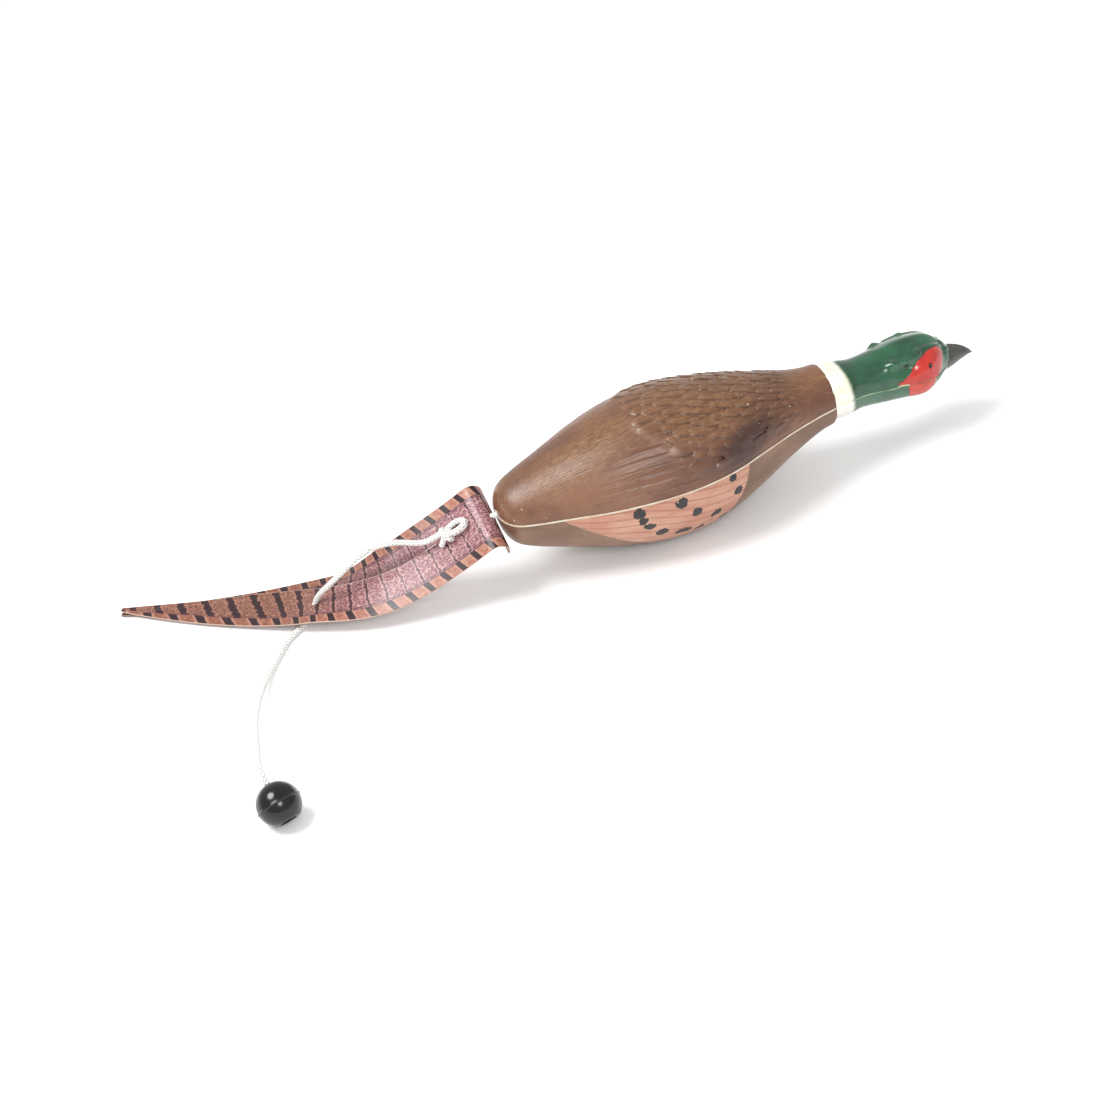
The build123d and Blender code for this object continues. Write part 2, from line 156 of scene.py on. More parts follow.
def shingles(s, v, pitch_s, pitch_v, seed):
    """Overlapping round-ended feathers with tips towards the tail: height and rim, 0 to 1."""
    height = np.zeros_like(s)
    rim = np.zeros_like(s)
    found = np.zeros(s.shape, bool)
    front = np.floor(s / pitch_s) + 1
    for back in range(5):
        row = front - back
        stagger = 0.5 * np.mod(row, 2)
        for step in (0, 1):
            column = np.floor(v / pitch_v - stagger) + step
            tip = (row + 0.6 * (random01(row, column, seed) - 0.5)) * pitch_s
            centre = (column + stagger + 0.45 * (random01(row, column, seed + 3) - 0.5)) * pitch_v
            size = 0.86 + 0.35 * random01(row, column, seed + 5)
            d = s - tip
            share = np.clip(d / (1.15 * pitch_s), 0, 1)
            half = 0.6 * size * pitch_v * np.sqrt(np.clip(1 - (1 - share) ** 2.2, 0, 1))
            off = np.abs(v - centre)
            hit = (~found) & (d >= 0) & (off < half)
            crown = 1 - (off / np.maximum(half, 1e-6)) ** 2
            value = 0.88 - 0.5 * d / pitch_s + 0.12 * np.sqrt(np.clip(crown, 0, 1))
            height = np.where(hit, value, height)
            inside = np.minimum(d * 1.2, half - off)
            rim = np.where(hit, np.exp(-np.maximum(inside, 0) / 0.8), rim)
            found |= hit
    return height, rim


# ---- mesh helpers
def quads(rows, columns, closed=False, first=0):
    """Faces of a grid of points stored row by row."""
    r = np.arange(rows - 1)[:, None] * columns
    c = np.arange(columns if closed else columns - 1)[None, :]
    n = (c + 1) % columns
    return (first + np.stack([r + c, r + n, r + columns + n, r + columns + c], -1)).reshape(-1, 4)


def strip_quads(a, b):
    """Faces between two equally long rows of point numbers."""
    return np.stack([a[:-1], a[1:], b[1:], b[:-1]], -1)


def build(name, points, faces, material, values=None, sharp=50.0, weld=True):
    """Closed smooth-shaded mesh from points in millimetres, with named values per point."""
    mesh = bpy.data.meshes.new(name)
    faces = faces if isinstance(faces, list) else faces.tolist()
    mesh.from_pydata((np.asarray(points) * MM).tolist(), [], faces)
    for key, value in (values or {}).items():
        layer = mesh.attributes.new(key, "FLOAT", "POINT")
        layer.data.foreach_set("value", np.asarray(value, np.float32).ravel())
    work = bmesh.new()
    work.from_mesh(mesh)
    if weld:
        bmesh.ops.remove_doubles(work, verts=work.verts, dist=2e-6)
    bmesh.ops.recalc_face_normals(work, faces=work.faces)
    work.to_mesh(mesh)
    work.free()
    mesh.shade_smooth()
    mesh.set_sharp_from_angle(angle=math.radians(sharp))
    mesh.materials.append(material)
    thing = bpy.data.objects.new(name, mesh)
    bpy.context.scene.collection.objects.link(thing)
    return thing


def joined(parts):
    """One list of points and one of faces from several (points, faces) pairs."""
    points, faces, count = [], [], 0
    for p, f in parts:
        points.append(p)
        faces.append(np.asarray(f) + count)
        count += len(p)
    return np.concatenate(points), np.concatenate(faces)


def attach(thing, body, slot, *nodes):
    """Ride on a body and stand for these CAD nodes, which are hidden; slot is not used."""
    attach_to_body(thing, body)
    if nodes:
        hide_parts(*nodes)
    return thing


def bend(thing, bodies, start, end, slot, *nodes):
    """Bake the object's transform and hide the CAD nodes it stands for; bodies, start and end (two points,
    in millimetres) and slot are not used.
    """
    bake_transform(thing)
    if nodes:
        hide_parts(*nodes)
    return thing


def piece(name, shape, material, body, slot, *nodes):
    """Build a mesh from (points, faces) or (points, faces, values) and attach it."""
    points, faces, *values = shape
    return attach(build(name, points, faces, material, *values), body, slot, *nodes)


def half_grid(s, shape, side, columns):
    """Upper or lower half of a body with elliptical sections, one row of points per station.

    Gives stations, degrees round, side and height of the points, and the way out at each."""
    width = shape[:, 0][:, None]
    height = (shape[:, 1] if side > 0 else shape[:, 2])[:, None]
    angle = np.linspace(0.0, 180.0, columns)
    cos, sin = np.cos(np.radians(angle)), np.sin(np.radians(angle))
    S, A = np.meshgrid(s, angle, indexing="ij")
    length = np.hypot(cos * height, sin * width) + 1e-9
    return S, A, width * cos, height * sin, cos * height / length, sin * width / length


# ---- material helper
class Recipe:
    """Adds nodes to one material and joins them by value or socket."""

    def __init__(self, name, roughness=0.4, specular=0.5, coat=0.0, coat_roughness=0.1):
        self.material = bpy.data.materials.new(name)
        self.material.use_nodes = True
        self.tree = self.material.node_tree
        self.shader = self.tree.nodes["Principled BSDF"]
        self.shader.inputs["Roughness"].default_value = roughness
        self.shader.inputs["Specular IOR Level"].default_value = specular
        self.shader.inputs["Coat Weight"].default_value = coat
        self.shader.inputs["Coat Roughness"].default_value = coat_roughness
        self.coordinates = self.add("ShaderNodeTexCoord").outputs["Object"]

    def add(self, kind, inputs=None, **settings):
        node = self.tree.nodes.new(kind)
        for key, value in settings.items():
            setattr(node, key, value)
        for key, value in (inputs or {}).items():
            self.join(value, node.inputs[key])
        return node

    def join(self, value, socket):
        if isinstance(value, bpy.types.NodeSocket):
            self.tree.links.new(value, socket)
        elif isinstance(value, tuple) and len(value) == 3 and socket.type == "RGBA":
            socket.default_value = (*value, 1.0)
        else:
            socket.default_value = value

    def math(self, operation, a, b=0.0):
        return self.add("ShaderNodeMath", {0: a, 1: b}, operation=operation).outputs[0]

    def times(self, a, b):
        return self.math("MULTIPLY", a, b)

    def plus(self, a, b):
        return self.math("ADD", a, b)

    def minus(self, a, b):
        return self.math("SUBTRACT", a, b)

    def value(self, name):
        """Named value stored at the mesh's points."""
        return self.add("ShaderNodeAttribute", attribute_name=name).outputs["Fac"]

    def step(self, value, low, high):
        """Soft step from 0 at low to 1 at high, which may run backwards."""
        node = self.add(
            "ShaderNodeMapRange",
            {"Value": value, "From Min": low, "From Max": high},
            interpolation_type="SMOOTHSTEP",
        )
        return node.outputs[0]

    def mix(self, factor, a, b):
        node = self.add("ShaderNodeMix", data_type="RGBA")
        for value, place in ((factor, 0), (a, 6), (b, 7)):
            self.join(value, node.inputs[place])
        return node.outputs[2]

    def scaled(self, x, y, z, source=None):
        inputs = {0: source or self.coordinates, 1: (x, y, z)}
        return self.add("ShaderNodeVectorMath", inputs, operation="MULTIPLY").outputs[0]

    def noise(self, size, stretch=(1, 1, 1), detail=3.0):
        """Noise with features about size millimetres wide, drawn out by stretch."""
        vector = self.scaled(*[1.0 / (size * MM * k) for k in stretch])
        inputs = {"Vector": vector, "Scale": 1.0, "Detail": detail, "Roughness": 0.55}
        return self.add("ShaderNodeTexNoise", inputs).outputs["Fac"]

    def cells(self, size):
        inputs = {"Vector": self.scaled(*[1.0 / (size * MM)] * 3), "Scale": 1.0}
        return self.add("ShaderNodeTexVoronoi", inputs).outputs["Distance"]

    def mottle(self, a, b, size, stretch=(1, 1, 1), detail=3.0, low=0.3, high=0.7):
        """Patches of two colours: a where the noise is low, b where it is high."""
        return self.mix(self.step(self.noise(size, stretch, detail), low, high), a, b)

    def wash(self, colour, over, where, strength):
        """Lay a second colour over the first, at most by strength."""
        return self.mix(self.times(where, strength), colour, over)

    def waver(self, size, reach):
        """Uneven value around zero, to make an edge ragged."""
        return self.times(self.minus(self.noise(size, detail=4.0), 0.5), reach)

    def bump(self, height, depth, strength=1.0):
        """Surface relief of depth millimetres."""
        inputs = {"Height": height, "Distance": depth * MM, "Strength": strength}
        node = self.add("ShaderNodeBump", inputs)
        self.join(node.outputs[0], self.shader.inputs["Normal"])

    def finish(self, colour, patches=None, low=0.0, high=0.0):
        """Set the colour, and a roughness from low to high if patches are given."""
        self.join(colour, self.shader.inputs["Base Color"])
        if patches is not None:
            inputs = {"Value": patches, "To Min": low, "To Max": high}
            roughness = self.add("ShaderNodeMapRange", inputs).outputs[0]
            self.join(roughness, self.shader.inputs["Roughness"])
        return self.material


STUDIO_GAIN = 0.6        # paint is this much darker than it looks under the bright studio light


def tone(red, green, blue):
    """Linear colour from 0-255 screen values, as seen under the studio light."""
    out = []
    for c in (red, green, blue):
        c /= 255.0
        linear = c / 12.92 if c <= 0.04045 else ((c + 0.055) / 1.055) ** 2.4
        out.append(linear * STUDIO_GAIN)
    return tuple(out)


# ---- materials
def foam_upper():
    m = Recipe("foam_upper", specular=0.45, coat=0.3, coat_roughness=0.26)
    streak = m.noise(1.3, (14, 1, 1), 4.0)
    cloud = m.noise(30.0, (1.6, 1, 1))
    gold = m.times(m.value("warm"), m.step(cloud, 0.25, 0.7))
    side = m.mix(m.step(cloud, 0.32, 0.66), tone(118, 72, 48), tone(152, 102, 74))
    back = m.mix(m.step(streak, 0.3, 0.7), tone(116, 72, 38), tone(158, 112, 70))
    back = m.wash(back, tone(92, 54, 28), m.step(cloud, 0.6, 0.35), 0.45)
    colour = m.mix(gold, side, back)
    colour = m.wash(colour, tone(176, 128, 88), m.step(streak, 0.5, 0.75), 0.35)
    # painted highlight: the raised feather crests are washed lighter
    colour = m.wash(colour, tone(186, 140, 98), m.value("crest"), 0.4)
    # painted shade: the grooves under the feather tips are washed dark
    groove = m.times(m.value("groove"), m.step(m.noise(6.0), 0.1, 0.5))
    colour = m.wash(colour, tone(54, 28, 14), groove, 0.9)
    shade = m.times(m.value("dark"), m.step(m.noise(9.0, (1.5, 1, 1), 4.0), 0.0, 0.5))
    colour = m.mix(shade, colour, tone(66, 28, 12))
    wear = m.times(m.value("specks"), m.step(m.cells(5.5), 0.2, 0.08))
    wear = m.times(wear, m.step(m.noise(7.0), 0.56, 0.62))
    colour = m.mix(wear, colour, tone(226, 196, 166))
    m.bump(streak, 0.22, 0.8)
    return m.finish(colour, m.noise(12.0), 0.34, 0.5)


def foam_lower():
    m = Recipe("foam_lower", specular=0.45, coat=0.25, coat_roughness=0.3)
    streak = m.noise(1.5, (10, 1, 1), 4.0)
    brown = m.mottle(tone(128, 92, 66), tone(160, 118, 92), 26.0, (1.6, 1, 1))
    brown = m.wash(brown, tone(182, 140, 112), m.step(streak, 0.5, 0.8), 0.3)
    pink = m.mottle(tone(214, 148, 120), tone(232, 178, 150), 11.0, (2, 1, 1))
    pink = m.wash(pink, tone(172, 94, 74), m.value("lines"), 0.8)
    flank = m.step(m.plus(m.value("flank"), m.waver(3.0, 3.0)), -0.25, 0.25)
    colour = m.mix(flank, brown, pink)
    ink = m.plus(m.value("spot"), m.waver(3.0, 4.0))
    colour = m.mix(m.step(ink, -0.15, 0.2), colour, tone(26, 21, 20))
    # painted shade in the grooves between the belly feathers
    colour = m.wash(colour, tone(92, 58, 40), m.value("groove"), 0.5)
    wear = m.times(m.step(m.cells(6.0), 0.16, 0.07), m.step(m.noise(8.0), 0.58, 0.64))
    colour = m.mix(wear, colour, tone(226, 200, 174))
    m.bump(streak, 0.16, 0.8)
    return m.finish(colour, m.noise(12.0), 0.38, 0.55)


def bead_paint(name, light, dark, white_up_to=None):
    """Bare moulded bead, painted white with the collar up to a given X."""
    m = Recipe(name, roughness=0.45, coat=0.1)
    colour = m.mottle(light, dark, 4.0, (3, 1, 1), 4.0, 0.35, 0.65)
    if white_up_to is not None:
        along = m.add("ShaderNodeSeparateXYZ", {"Vector": m.coordinates}).outputs["X"]
        white = m.step(along, (white_up_to + 1.5) * MM, (white_up_to - 1.5) * MM)
        colour = m.mix(white, colour, (0.78, 0.79, 0.62))
    m.bump(m.noise(0.8), 0.12)
    return m.finish(colour, m.noise(3.0), 0.35, 0.55)


def head_paint(name, green_light, green_dark, collar, red_light, red_dark):
    m = Recipe(name, specular=0.5, coat=0.6, coat_roughness=0.1)
    green = m.mottle(green_dark, green_light, 14.0, (1.5, 1, 1), 4.0)
    streak = m.step(m.noise(2.0, (4, 1, 1), 5.0), 0.55, 0.8)
    green = m.wash(green, tone(96, 150, 112), streak, 0.25)
    # painted shade in the hollows and folds of the face
    green = m.wash(green, tone(6, 34, 18), m.value("groove"), 0.8)
    white = m.mottle(collar, (0.82, 0.81, 0.72), 9.0, low=0.35)
    colour = m.mix(m.step(m.plus(m.value("green"), m.waver(3.5, 1.6)), -2.6, 1.6), white, green)
    red = m.mottle(red_dark, red_light, 5.0, detail=4.0)
    red = m.wash(red, tone(246, 120, 90), m.step(m.noise(1.1), 0.55, 0.75), 0.25)
    ragged = m.waver(1.6, 0.9)
    inside = m.plus(m.value("red"), ragged)
    outline = m.times(m.step(inside, -0.55, -0.1), m.step(inside, 0.35, 0.0))
    colour = m.mix(outline, colour, tone(96, 40, 26))
    colour = m.mix(m.step(inside, -0.1, 0.15), colour, red)
    bare = m.plus(m.value("bare"), m.times(ragged, 0.5))
    colour = m.mix(m.step(bare, -0.1, 0.2), colour, tone(238, 226, 186))
    m.bump(m.noise(1.2, (3, 1, 1), 4.0), 0.07)
    return m.finish(colour, m.noise(6.0), 0.17, 0.28)


def beak_paint(name, light, dark):
    m = Recipe(name, specular=0.5, coat=0.3, coat_roughness=0.15)
    colour = m.mottle(dark, light, 4.0, (3, 1, 1), 4.0)
    colour = m.wash(colour, tone(140, 136, 120), m.value("edge"), 0.7)
    m.bump(m.noise(0.9, (5, 1, 1), 4.0), 0.06)
    return m.finish(colour, m.noise(2.0), 0.28, 0.42)


def gloss_black(name):
    m = Recipe(name, specular=0.35, coat=0.25, coat_roughness=0.06)
    colour = m.mottle(tone(6, 6, 7), tone(16, 16, 18), 6.0, detail=4.0, high=0.75)
    scratch = m.step(m.noise(0.7, (1, 14, 3), 5.0), 0.62, 0.7)
    colour = m.wash(colour, tone(54, 54, 58), scratch, 0.2)
    m.bump(m.noise(1.8), 0.04)
    return m.finish(colour, m.noise(5.0), 0.14, 0.26)


def cord_weave(name):
    m = Recipe(name, roughness=0.75, specular=0.3)
    m.shader.inputs["Sheen Weight"].default_value = 0.3
    colour = m.mottle((0.8, 0.79, 0.76), (0.66, 0.65, 0.62), 3.0, low=0.35)
    # painted shade between the strands of the braid
    colour = m.wash(colour, (0.2, 0.19, 0.18), m.value("groove"), 0.8)
    m.bump(m.noise(0.35, detail=2.0), 0.12)
    return m.finish(colour, m.noise(1.5), 0.6, 0.85)


def plain_plastic(name, light, dark):
    m = Recipe(name, specular=0.45)
    colour = m.mottle(dark, light, 4.0, detail=4.0)
    m.bump(m.noise(1.0), 0.05)
    return m.finish(colour, m.noise(3.0), 0.35, 0.5)


def printed_sheet(name, shade):
    """Printed vinyl: barred tan borders and a marbled mauve field with dark crossbars."""
    m = Recipe(name, specular=0.35, coat=0.12, coat_roughness=0.25)
    along, across, border, bars = (m.value(key) for key in ("along", "across", "border", "bars"))
    flat = m.add("ShaderNodeCombineXYZ", {"X": along, "Y": across}).outputs[0]
    far_out = m.step(along, 90.0, 200.0)

    def blot(size, detail=3.0, stretch=(1, 1)):
        vector = m.scaled(1.0 / (size * stretch[0]), 1.0 / (size * stretch[1]), 1.0, flat)
        inputs = {"Vector": vector, "Scale": 1.0, "Detail": detail}
        return m.add("ShaderNodeTexNoise", inputs).outputs["Fac"]

    def grown(start, gain):
        """Value that changes by gain from the root to the tips."""
        return m.plus(start, m.times(far_out, gain))

    def bar_distance(phase):
        return m.math("ABSOLUTE", m.minus(m.math("FRACT", phase), 0.5))

    # crossbars of the field, wavy and leaning more towards the tips
    wave = m.times(m.minus(blot(3.2), 0.5), 0.42)
    lean = m.times(across, grown(-0.006, -0.024))
    bar = bar_distance(m.plus(m.plus(bars, wave), m.plus(lean, 0.5)))
    # bars of the borders, straighter and slanted
    slow = m.times(m.minus(blot(6.0, 2.0, (1.0, 2.0)), 0.5), 0.1)
    edge_bar = bar_distance(m.plus(bars, m.plus(slow, m.times(across, -0.034))))

    fine = blot(1.1, 5.0, (1.5, 1.0))
    coarse = blot(2.3, 4.0, (1.5, 1.0))
    root_field = m.mix(m.step(fine, 0.4, 0.62), tone(128, 74, 88), tone(206, 150, 152))
    tip_field = m.mix(m.step(fine, 0.38, 0.62), tone(112, 66, 52), tone(170, 116, 96))
    field = m.mix(far_out, root_field, tip_field)
    pale = m.mix(far_out, tone(232, 190, 186), tone(194, 138, 116))
    field = m.wash(field, pale, m.step(coarse, 0.52, 0.66), 0.7)
    half = grown(0.055, 0.095)
    rim = m.step(m.math("ABSOLUTE", m.minus(m.minus(bar, half), 0.05)), 0.04, 0.01)
    field = m.wash(field, pale, rim, 0.6)
    cross = m.step(m.minus(half, bar), -0.02, 0.02)
    speckle = m.step(fine, 0.3, 0.7)
    ink = m.mix(speckle, tone(40, 12, 24), tone(66, 28, 38))
    field = m.wash(field, ink, cross, grown(0.75, 0.25))

    patchy = m.step(coarse, 0.35, 0.65)
    tan = m.mix(patchy, tone(176, 110, 88), tone(204, 146, 124))
    tan = m.mix(far_out, tan, m.mix(patchy, tone(144, 84, 64), tone(178, 116, 92)))
    tan = m.wash(tan, tone(220, 168, 146), m.step(edge_bar, 0.31, 0.22), 0.5)
    edge_ink = m.mix(speckle, tone(36, 12, 22), tone(60, 28, 38))
    tan = m.mix(m.step(m.minus(0.165, edge_bar), -0.02, 0.02), tan, edge_ink)
    colour = m.mix(m.step(border, -0.1, 0.1), field, tan)
    for place in (-0.35, -1.7):      # two thin printed lines beside the border
        line = m.step(m.math("ABSOLUTE", m.minus(border, place)), 0.48, 0.22)
        colour = m.wash(colour, tone(86, 40, 58), line, grown(0.9, -0.45))
    colour = m.mix(m.step(m.value("rim"), 0.4, 0.15), colour, tone(226, 190, 172))
    underside = m.mix(0.5, colour, tone(206, 176, 160))
    colour = m.mix(m.step(m.value("under"), 0.4, 0.6), colour, underside)
    colour = m.wash(colour, tone(58, 28, 28), m.value("shadow"), 0.55)
    # painted shade: shade darkens the whole sheet, for the far feather tucked under the near one
    colour = m.mix(shade, colour, tone(60, 30, 26))
    m.bump(m.plus(fine, m.times(cross, -0.3)), 0.1, 0.7)
    return m.finish(colour, coarse, 0.26, 0.44)


UPPER_FOAM = foam_upper()
LOWER_FOAM = foam_lower()
BODY_BEAD = bead_paint("body_bead_paint", tone(255, 244, 226), tone(238, 212, 184))
HEAD_BEAD = bead_paint("head_bead_paint", tone(186, 206, 170), tone(90, 140, 98), REAR_X + 268.0)
HEAD_TOP = head_paint(
    "head_paint_upper", tone(26, 106, 66), tone(10, 72, 42), (0.78, 0.8, 0.56),
    tone(240, 42, 16), tone(208, 24, 8),
)
HEAD_LOW = head_paint(
    "head_paint_lower", tone(70, 128, 94), tone(40, 96, 66), (0.78, 0.74, 0.7),
    tone(240, 74, 46), tone(220, 48, 26),
)
BEAK_TOP = beak_paint("beak_paint_upper", tone(92, 90, 86), tone(62, 61, 58))
BEAK_LOW = beak_paint("beak_paint_lower", tone(60, 66, 52), tone(34, 38, 30))
EYE_BLACK = gloss_black("eye_gloss")
BALL_BLACK = gloss_black("ball_gloss")
CORD_WHITE = cord_weave("cord_weave")
LINER_WHITE = plain_plastic("liner_plastic_white", tone(246, 246, 240), tone(222, 220, 210))
SHEET_NEAR = printed_sheet("printed_sheet", 0.0)
# darker copy of the print, as painted shade on the far feather
SHEET_FAR_SHADED = printed_sheet("printed_sheet_far_shaded", 0.12)


# ---- body
BODY_COLUMNS = 221
SOCKET_ROWS = 30
DEGREE_MM = 0.86         # millimetres round the body for each degree
FLANK_EDGE = np.array([   # distance from the rear end, how far down the flank patch reaches, degrees
    (34.0, -3.0), (36.0, 1.0), (46.0, 11.5), (59.0, 23.0), (73.0, 34.5), (96.0, 50.0), (118.0, 60.0),
    (138.0, 58.0), (153.0, 46.0), (164.0, 29.0), (170.0, 14.0), (173.0, 2.0), (174.0, -4.0),
])
FLANK_SPOTS = (           # distance from the rear end, degrees below the seam, half length, half height
    (86.3, 6.2, 4.4, 4.2), (88.6, 13.8, 3.3, 3.5), (92.8, 20.5, 4.3, 3.2), (102.0, 31.0, 4.9, 3.8),
    (117.8, 38.0, 6.4, 3.4), (131.0, 43.0, 4.4, 3.0), (116.6, 6.3, 4.6, 4.2), (127.7, 19.2, 3.9, 3.7),
    (143.2, 30.0, 4.4, 3.3), (157.6, 3.6, 3.2, 2.7), (161.5, 17.8, 3.6, 3.8), (150.5, 42.0, 3.6, 2.6),
)


def body_stations():
    """Rear cap, body and lip stations, and how much each cap row is drawn in."""
    draw = np.linspace(0.0, 1.0, 9)[:-1]
    cap_s = CAP_S - CAP_BULGE * (1 - draw ** 2)
    round_s = CAP_S + (ROUND_S - CAP_S) * np.linspace(0, 1, 44)[:-1] ** 2
    long_s = np.arange(ROUND_S, NECK_PIVOT_S - SOCKET_R - 0.3, 0.75)
    socket_turn = np.linspace(0.0, math.acos(NECK_DEPTH / SOCKET_R), SOCKET_ROWS)
    lip_s = NECK_PIVOT_S - SOCKET_R * np.cos(socket_turn)
    s = np.concatenate([cap_s, round_s, long_s, lip_s])
    shrink = np.concatenate([draw, np.ones(len(s) - len(draw))])
    return s, shrink


def upper_relief(s, angle, drop):
    """Raised feathers of the back and wings: height, and masks for painted shade in the grooves and a
    painted highlight on the crests.
    """
    v = (angle - 90.0) * DEGREE_MM
    bound = 140.0 - 0.5 * drop       # the wing feathers start behind this slanted line
    low = np.interp(s, [100, 115, 130, 150, 190, 235], [66, 54, 42, 28, 17, 20])
    uneven_s = s + 0.8 * ripple(s / 9.0, v / 7.0, 6.0)
    uneven_v = v + 0.9 * ripple(s / 12.0, v / 8.0, 9.0)
    h1, r1 = shingles(uneven_s, uneven_v, 10.5, 8.4, 1.0)
    h2, r2 = shingles(s + 0.12 * v, v, 15.0, 9.5, 7.0)
    h3, r3 = shingles(s + 0.3 * v, v, 11.0, 10.0, 11.0)
    back = band(s, 98, 108, 212, 236) * smooth(drop, low - 6, low + 4)
    wing = band(s - bound, -9.0, 5.0, 24, 40) * band(drop, 9, 15, 54, 62) * (1 - 0.8 * back)
    chest = band(s, 150, 165, 222, 240) * fade(drop, low - 6, low + 2) * smooth(drop, 3, 8)
    fan = drop * DEGREE_MM + 0.05 * (s - 40) + 0.6 * ripple(s / 16.0, drop / 9.0, 1.0)
    quill = np.mod(fan / 6.2, 1.0)
    long_feather = smooth(s, 46, 84) * fade(s - bound, -8, 0) * band(drop, 5, 10, 44, 58)
    height = 1.7 * back * h1 + 2.1 * wing * h2 + 0.5 * chest * h3
    height += 0.7 * long_feather * quill * fade(quill, 0.86, 1.0)
    hair = 0.06 * np.sin(drop * 2.1 + 2.0 * ripple(s / 11.0, drop / 5.0, 4.0)) * fade(s, 95, 115)
    # mask for painted shade along the rims of the feathers
    groove = r1 * back + r2 * wing + 0.4 * r3 * chest + 0.45 * long_feather * smooth(quill, 0.8, 0.95)
    # mask for a painted highlight on the tops of the feathers
    crest = smooth(h1, 0.7, 1.0) * back + smooth(h2, 0.7, 1.0) * wing
    return height + hair * smooth(drop, 4, 12), np.clip(groove, 0, 1), np.clip(crest, 0, 1)


def lower_relief(s, drop, flank):
    """Long soft feathers of flank and belly: height, printed lines, and a mask for painted shade in the
    grooves.
    """
    line = drop * 0.9 - 0.2 * (s - 60) + 2.4 * ripple(s / 12.0, drop / 9.0, 2.0)
    lines = np.mod(line / 6.4, 1.0)
    inside = smooth(flank, -0.4, 1.0)
    belly, rim = shingles(s, drop * 0.95, 13.0, 12.0, 21.0)
    soft = (1 - inside) * smooth(drop, 14, 30) * band(s, 60, 90, 205, 235)
    height = 0.45 * inside * (1 + lines * fade(lines, 0.85, 1.0)) + 0.3 * belly * soft
    return height, inside * smooth(lines, 0.78, 0.92), 0.35 * rim * soft


def flank_distance(s, drop):
    """How far inside the flank patch a point lies, in millimetres."""
    limit = np.interp(s, FLANK_EDGE[:, 0], FLANK_EDGE[:, 1], left=-9.0, right=-9.0)
    ends = np.minimum(s - FLANK_EDGE[0, 0], FLANK_EDGE[-1, 0] - s)
    return np.minimum((limit - drop) * 0.8, ends)


def spot_distance(s, drop):
    """How far inside a dark spot of the flank a point lies, in millimetres."""
    best = np.full(s.shape, -20.0)
    for s0, drop0, half_s, half_v in FLANK_SPOTS:
        d = np.hypot((s - s0) / half_s, (drop - drop0) * 0.9 / half_v)
        best = np.maximum(best, (1 - d) * min(half_s, half_v))
    return best


def body_half(side):
    """Grid over one half of the body, with its socket and the face on the parting plane."""
    s, shrink = body_stations()
    shape = shape_at(BODY_SHAPE, np.maximum(s, CAP_S)) * shrink[:, None]
    S, A, y, z, out_y, out_z = half_grid(s, shape, side, BODY_COLUMNS)
    drop = 90.0 - np.abs(90.0 - A)
    if side > 0:
        rise, groove, crest = upper_relief(S, A, drop)
        patch = np.hypot((S - 175.0) / 40.0, (drop - 19.0 - 0.25 * (S - 175.0)) / 27.0)
        specks = band(S, 150, 175, 215, 235) + fade(S, 14, 34)
        values = {
            "crest": crest,
            "warm": smooth(drop, 20, 62) * (1 - 0.5 * smooth(S, 225, 250)),
            "dark": 0.93 * fade(patch, 0.25, 1.05),
            "specks": np.clip(specks, 0, 1),
        }
    else:
        flank = flank_distance(S, drop)
        rise, lines, groove = lower_relief(S, drop, flank)
        values = {"flank": flank, "lines": lines, "spot": spot_distance(S, drop)}
    values["groove"] = groove
    from_seam = drop * np.radians(1.0) * np.maximum(shape[:, 0], 1.0)[:, None]
    calm = smooth(from_seam, 0.6, 3.5) * band(S, 3.0, 14.0, LIP_S - 14, LIP_S - 3)
    lip = 0.35 * band(S, LIP_S - 8, LIP_S - 1.5, LIP_S - 0.7, LIP_S)
    rise = rise * calm + lip * (1 + 0.4 * ripple(A / 7.0, S / 5.0, 3.0))
    x = S + 0.25 * ripple(A / 5.0, A / 3.0, 2.0) * smooth(S, LIP_S - 2.0, LIP_S)
    outer = np.stack([REAR_X + x, y + out_y * rise, SEAM_Z + side * (z + out_z * rise)], -1)
    if side < 0:
        outer[..., 2] = np.maximum(outer[..., 2], 0.0)
    socket_s = s[-SOCKET_ROWS:][::-1]
    socket_r = np.sqrt(np.maximum(SOCKET_R ** 2 - (NECK_PIVOT_S - socket_s) ** 2, 0.0))[:, None]
    turn = np.radians(A[0])
    socket = np.stack([
        np.repeat(REAR_X + socket_s[:, None], BODY_COLUMNS, 1),
        socket_r * np.cos(turn),
        SEAM_Z + side * socket_r * np.sin(turn),
    ], -1)
    grid = np.concatenate([outer, socket])
    rows = len(grid)
    left = np.arange(rows) * BODY_COLUMNS
    right = left + BODY_COLUMNS - 1
    body_rows = len(s) - SOCKET_ROWS + 1
    faces = [quads(rows, BODY_COLUMNS), strip_quads(left[:body_rows], right[:body_rows])]
    for edge in (left, right):
        faces.append(strip_quads(edge[body_rows - 1:len(s)], edge[::-1][:SOCKET_ROWS]))
    for key, value in values.items():
        values[key] = np.concatenate([value, np.repeat(value[-1:], SOCKET_ROWS, 0)])
    return grid.reshape(-1, 3), np.concatenate(faces), values


